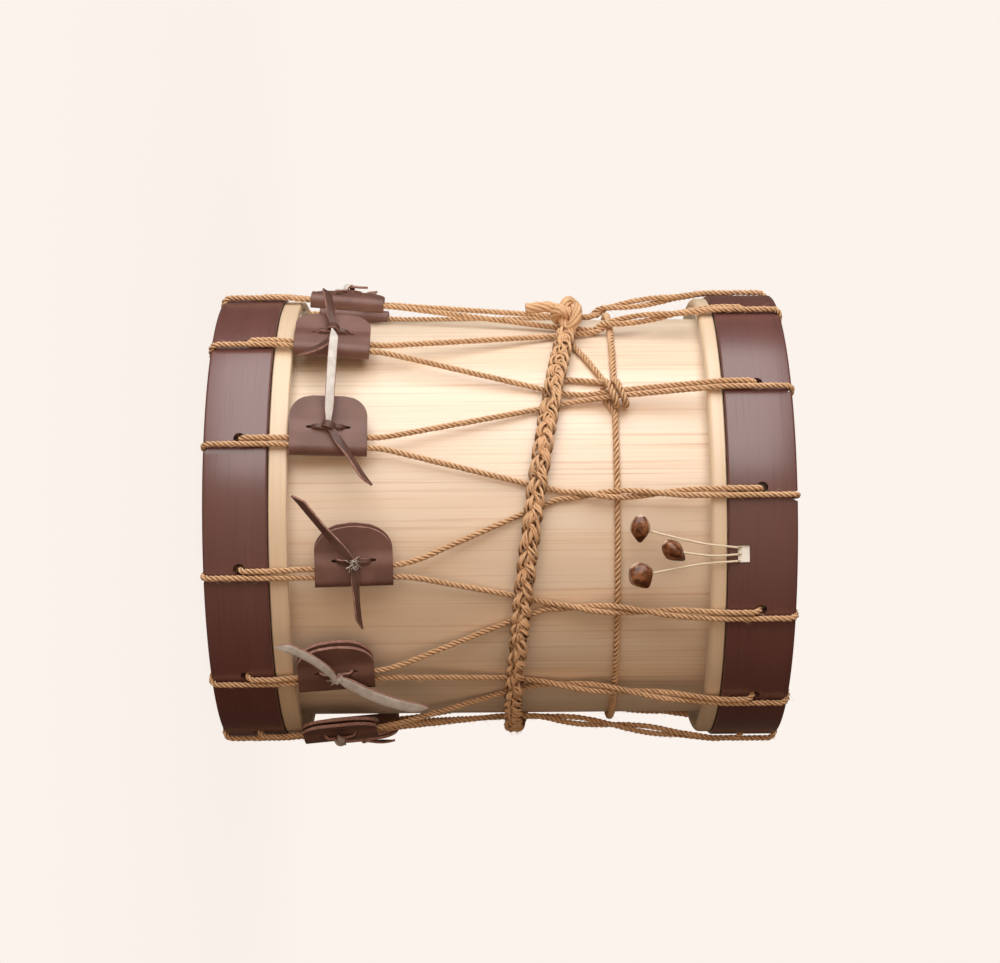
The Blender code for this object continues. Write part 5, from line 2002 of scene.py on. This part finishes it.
@dataclass
class Studio:
    """Floor, backdrop, lamp and camera of the photograph."""

    cream: str = "#FCF3EC"
    paper: str = "#4A4643"
    sheet_half: float = 5.0
    floor_drop: float = 0.0006
    floor_shade: float = 0.05
    shade_fades: tuple = (0.14, 0.55)
    backdrop_place: tuple = (0.0, 2.2, 2.0)
    distance: float = 1.267
    lens_px: float = 2124.0
    frame_px: tuple = (1000, 963)
    centre_px: tuple = (500.0, 516.3)
    roll: float = -0.0085
    drum_middle: float = 0.16138
    key_deg: float = -56.0
    key_distance: float = 1.2
    key_size: tuple = (1.7, 1.1)
    key_power: float = 17.7
    # Light from the sides, from front and back, and from above and below; its share behind the drum
    air_lobes: tuple = (0.0, 1.18, 0.35)
    air_behind: float = 0.4
    air_blend: float = 0.3
    air_in_gloss: float = 0.3
    air_least: float = 0.03
    air_colour: str = "#FFDFC2"

    def build(self) -> None:
        """Set the stage."""
        bpy.context.scene.view_settings.view_transform = "Standard"
        self.build_floor()
        self.build_world()
        self.build_lamp()
        self.build_camera()

    def stage_material(self, name: str, keep: float) -> bpy.types.Material:
        """Pale paper that looks evenly lit to the camera and throws little light back on the drum.

        Args:
            name: The material's name.
            keep: Share of its own light and shade that the camera sees near the drum.

        Returns:
            The material.
        """
        made = bpy.data.materials.new(name)
        made.use_nodes = True
        tree = made.node_tree
        tree.nodes.clear()
        dark = add_node(tree, "ShaderNodeBsdfDiffuse", {"Color": linear(self.paper)})
        pale = add_node(tree, "ShaderNodeBsdfDiffuse", {"Color": linear(self.cream)})
        glow = add_node(tree, "ShaderNodeEmission", {"Color": linear(self.cream), "Strength": 1.0})
        place = add_node(tree, "ShaderNodeTexCoord")
        away = add_node(
            tree, "ShaderNodeVectorMath", {"operation": "LENGTH"}, {0: place.outputs["Object"]}
        )
        even = add_node(
            tree, "ShaderNodeMapRange",
            {
                "From Min": self.shade_fades[0], "From Max": self.shade_fades[1],
                "To Min": 1 - keep, "To Max": 1.0,
            },
            {"Value": away.outputs["Value"]},
        )
        shown = add_node(
            tree, "ShaderNodeMixShader", None,
            {0: even.outputs[0], 1: pale.outputs[0], 2: glow.outputs[0]},
        )
        path = add_node(tree, "ShaderNodeLightPath")
        mixed = add_node(
            tree, "ShaderNodeMixShader", None,
            {0: path.outputs["Is Camera Ray"], 1: dark.outputs[0], 2: shown.outputs[0]},
        )
        add_node(tree, "ShaderNodeOutputMaterial", None, {"Surface": mixed.outputs[0]})
        return made

    def build_floor(self) -> None:
        """A pale floor under the drum and a backdrop of the same colour."""
        upright = Matrix.Rotation(math.pi / 2, 4, "X")
        for name, place, keep in (
            ("floor", Matrix.Translation((0, 0, -self.floor_drop)), self.floor_shade),
            ("backdrop", Matrix.Translation(self.backdrop_place) @ upright, 0.0),
        ):
            shape = bmesh.new()
            bmesh.ops.create_grid(shape, x_segments=4, y_segments=4, size=self.sheet_half, matrix=place)
            mesh = meshed(name, shape)
            mesh.materials.append(self.stage_material(f"{name}_paper", keep))
            made = placed(name, mesh)
            made.visible_diffuse = False
            made.visible_glossy = False
            made.visible_shadow = False

    def build_world(self) -> None:
        """Soft warm light, mostly from the front, and the plain background for the camera."""
        world = bpy.data.worlds.new("studio_air")
        bpy.context.scene.world = world
        world.use_nodes = True
        tree = world.node_tree
        tree.nodes.clear()
        place = add_node(tree, "ShaderNodeTexCoord")
        square = add_node(
            tree, "ShaderNodeVectorMath", {"operation": "MULTIPLY"},
            {0: place.outputs["Generated"], 1: place.outputs["Generated"]},
        )
        lobe = add_node(
            tree, "ShaderNodeVectorMath", {"operation": "MULTIPLY"},
            {0: square.outputs[0], 1: square.outputs[0]},
        )
        weight = add_node(
            tree, "ShaderNodeVectorMath", {"operation": "DOT_PRODUCT", 1: self.air_lobes},
            {0: lobe.outputs[0]},
        )
        axes = add_node(tree, "ShaderNodeSeparateXYZ", None, {0: place.outputs["Generated"]})
        share = add_node(
            tree, "ShaderNodeMapRange",
            {
                "From Min": -self.air_blend, "From Max": self.air_blend,
                "To Min": 1.0, "To Max": self.air_behind,
            },
            {"Value": axes.outputs["Y"]},
        )
        level = add_node(
            tree, "ShaderNodeMath", {"operation": "MULTIPLY_ADD", 2: self.air_least},
            {0: weight.outputs["Value"], 1: share.outputs[0]},
        )
        path = add_node(tree, "ShaderNodeLightPath")
        gloss = add_node(
            tree, "ShaderNodeMapRange", {"To Min": 1.0, "To Max": self.air_in_gloss},
            {"Value": path.outputs["Is Glossy Ray"]},
        )
        strength = add_node(
            tree, "ShaderNodeMath", {"operation": "MULTIPLY"}, {0: level.outputs[0], 1: gloss.outputs[0]}
        )
        air = add_node(
            tree, "ShaderNodeBackground", {"Color": linear(self.air_colour)},
            {"Strength": strength.outputs[0]},
        )
        plain = add_node(tree, "ShaderNodeBackground", {"Color": linear(self.cream), "Strength": 1.0})
        mixed = add_node(
            tree, "ShaderNodeMixShader", None,
            {0: path.outputs["Is Camera Ray"], 1: air.outputs[0], 2: plain.outputs[0]},
        )
        add_node(tree, "ShaderNodeOutputWorld", None, {"Surface": mixed.outputs[0]})

    def build_lamp(self) -> None:
        """One broad soft box at the drum's left, near enough to show as a satin sheen on the hoops."""
        turn = math.radians(self.key_deg)
        lamp = bpy.data.lights.new("key", "AREA")
        lamp.shape = "RECTANGLE"
        lamp.size, lamp.size_y = self.key_size
        lamp.energy = self.key_power
        made = placed("key", lamp)
        made.location = polar(self.key_distance, turn, self.drum_middle)
        aim = Vector((0, 0, self.drum_middle)) - made.location
        made.rotation_euler = aim.to_track_quat("-Z", "Y").to_euler()

    def build_camera(self) -> None:
        """The photograph's camera: rolled a quarter turn, so that the drum's foot is at its left."""
        lens = bpy.data.cameras.new("camera")
        lens.sensor_width = 36.0
        lens.lens = self.lens_px * lens.sensor_width / self.frame_px[0]
        lens.clip_start = 0.01
        lens.clip_end = 50.0
        right = (self.centre_px[0] - self.frame_px[0] / 2) / self.lens_px
        down = (self.centre_px[1] - self.frame_px[1] / 2) / self.lens_px
        tilt = Matrix.Rotation(math.atan(down), 3, "X") @ Matrix.Rotation(math.atan(right), 3, "Y")
        level = Matrix(((0, -1, 0), (0, 0, -1), (1, 0, 0)))
        turn = level @ Matrix.Rotation(self.roll, 3, "Z") @ tilt
        made = placed("camera", lens)
        made.matrix_world = Matrix.Translation((0, -self.distance, self.drum_middle)) @ turn.to_4x4()
        bpy.context.scene.camera = made


def main() -> None:
    """Build the drum's looks in order."""
    logging.basicConfig(level=logging.INFO, format="%(message)s")
    shop = Workshop()
    Studio().build()
    Rattles(shop).build()
    WoodenBody(shop).build()
    DrumHeads(shop).build()
    lacing = Lacing(shop)
    lacing.build()
    TensionEars(shop, lacing).build()
    MiddleCords(shop, lacing).build()


if __name__ == "__main__":
    main()
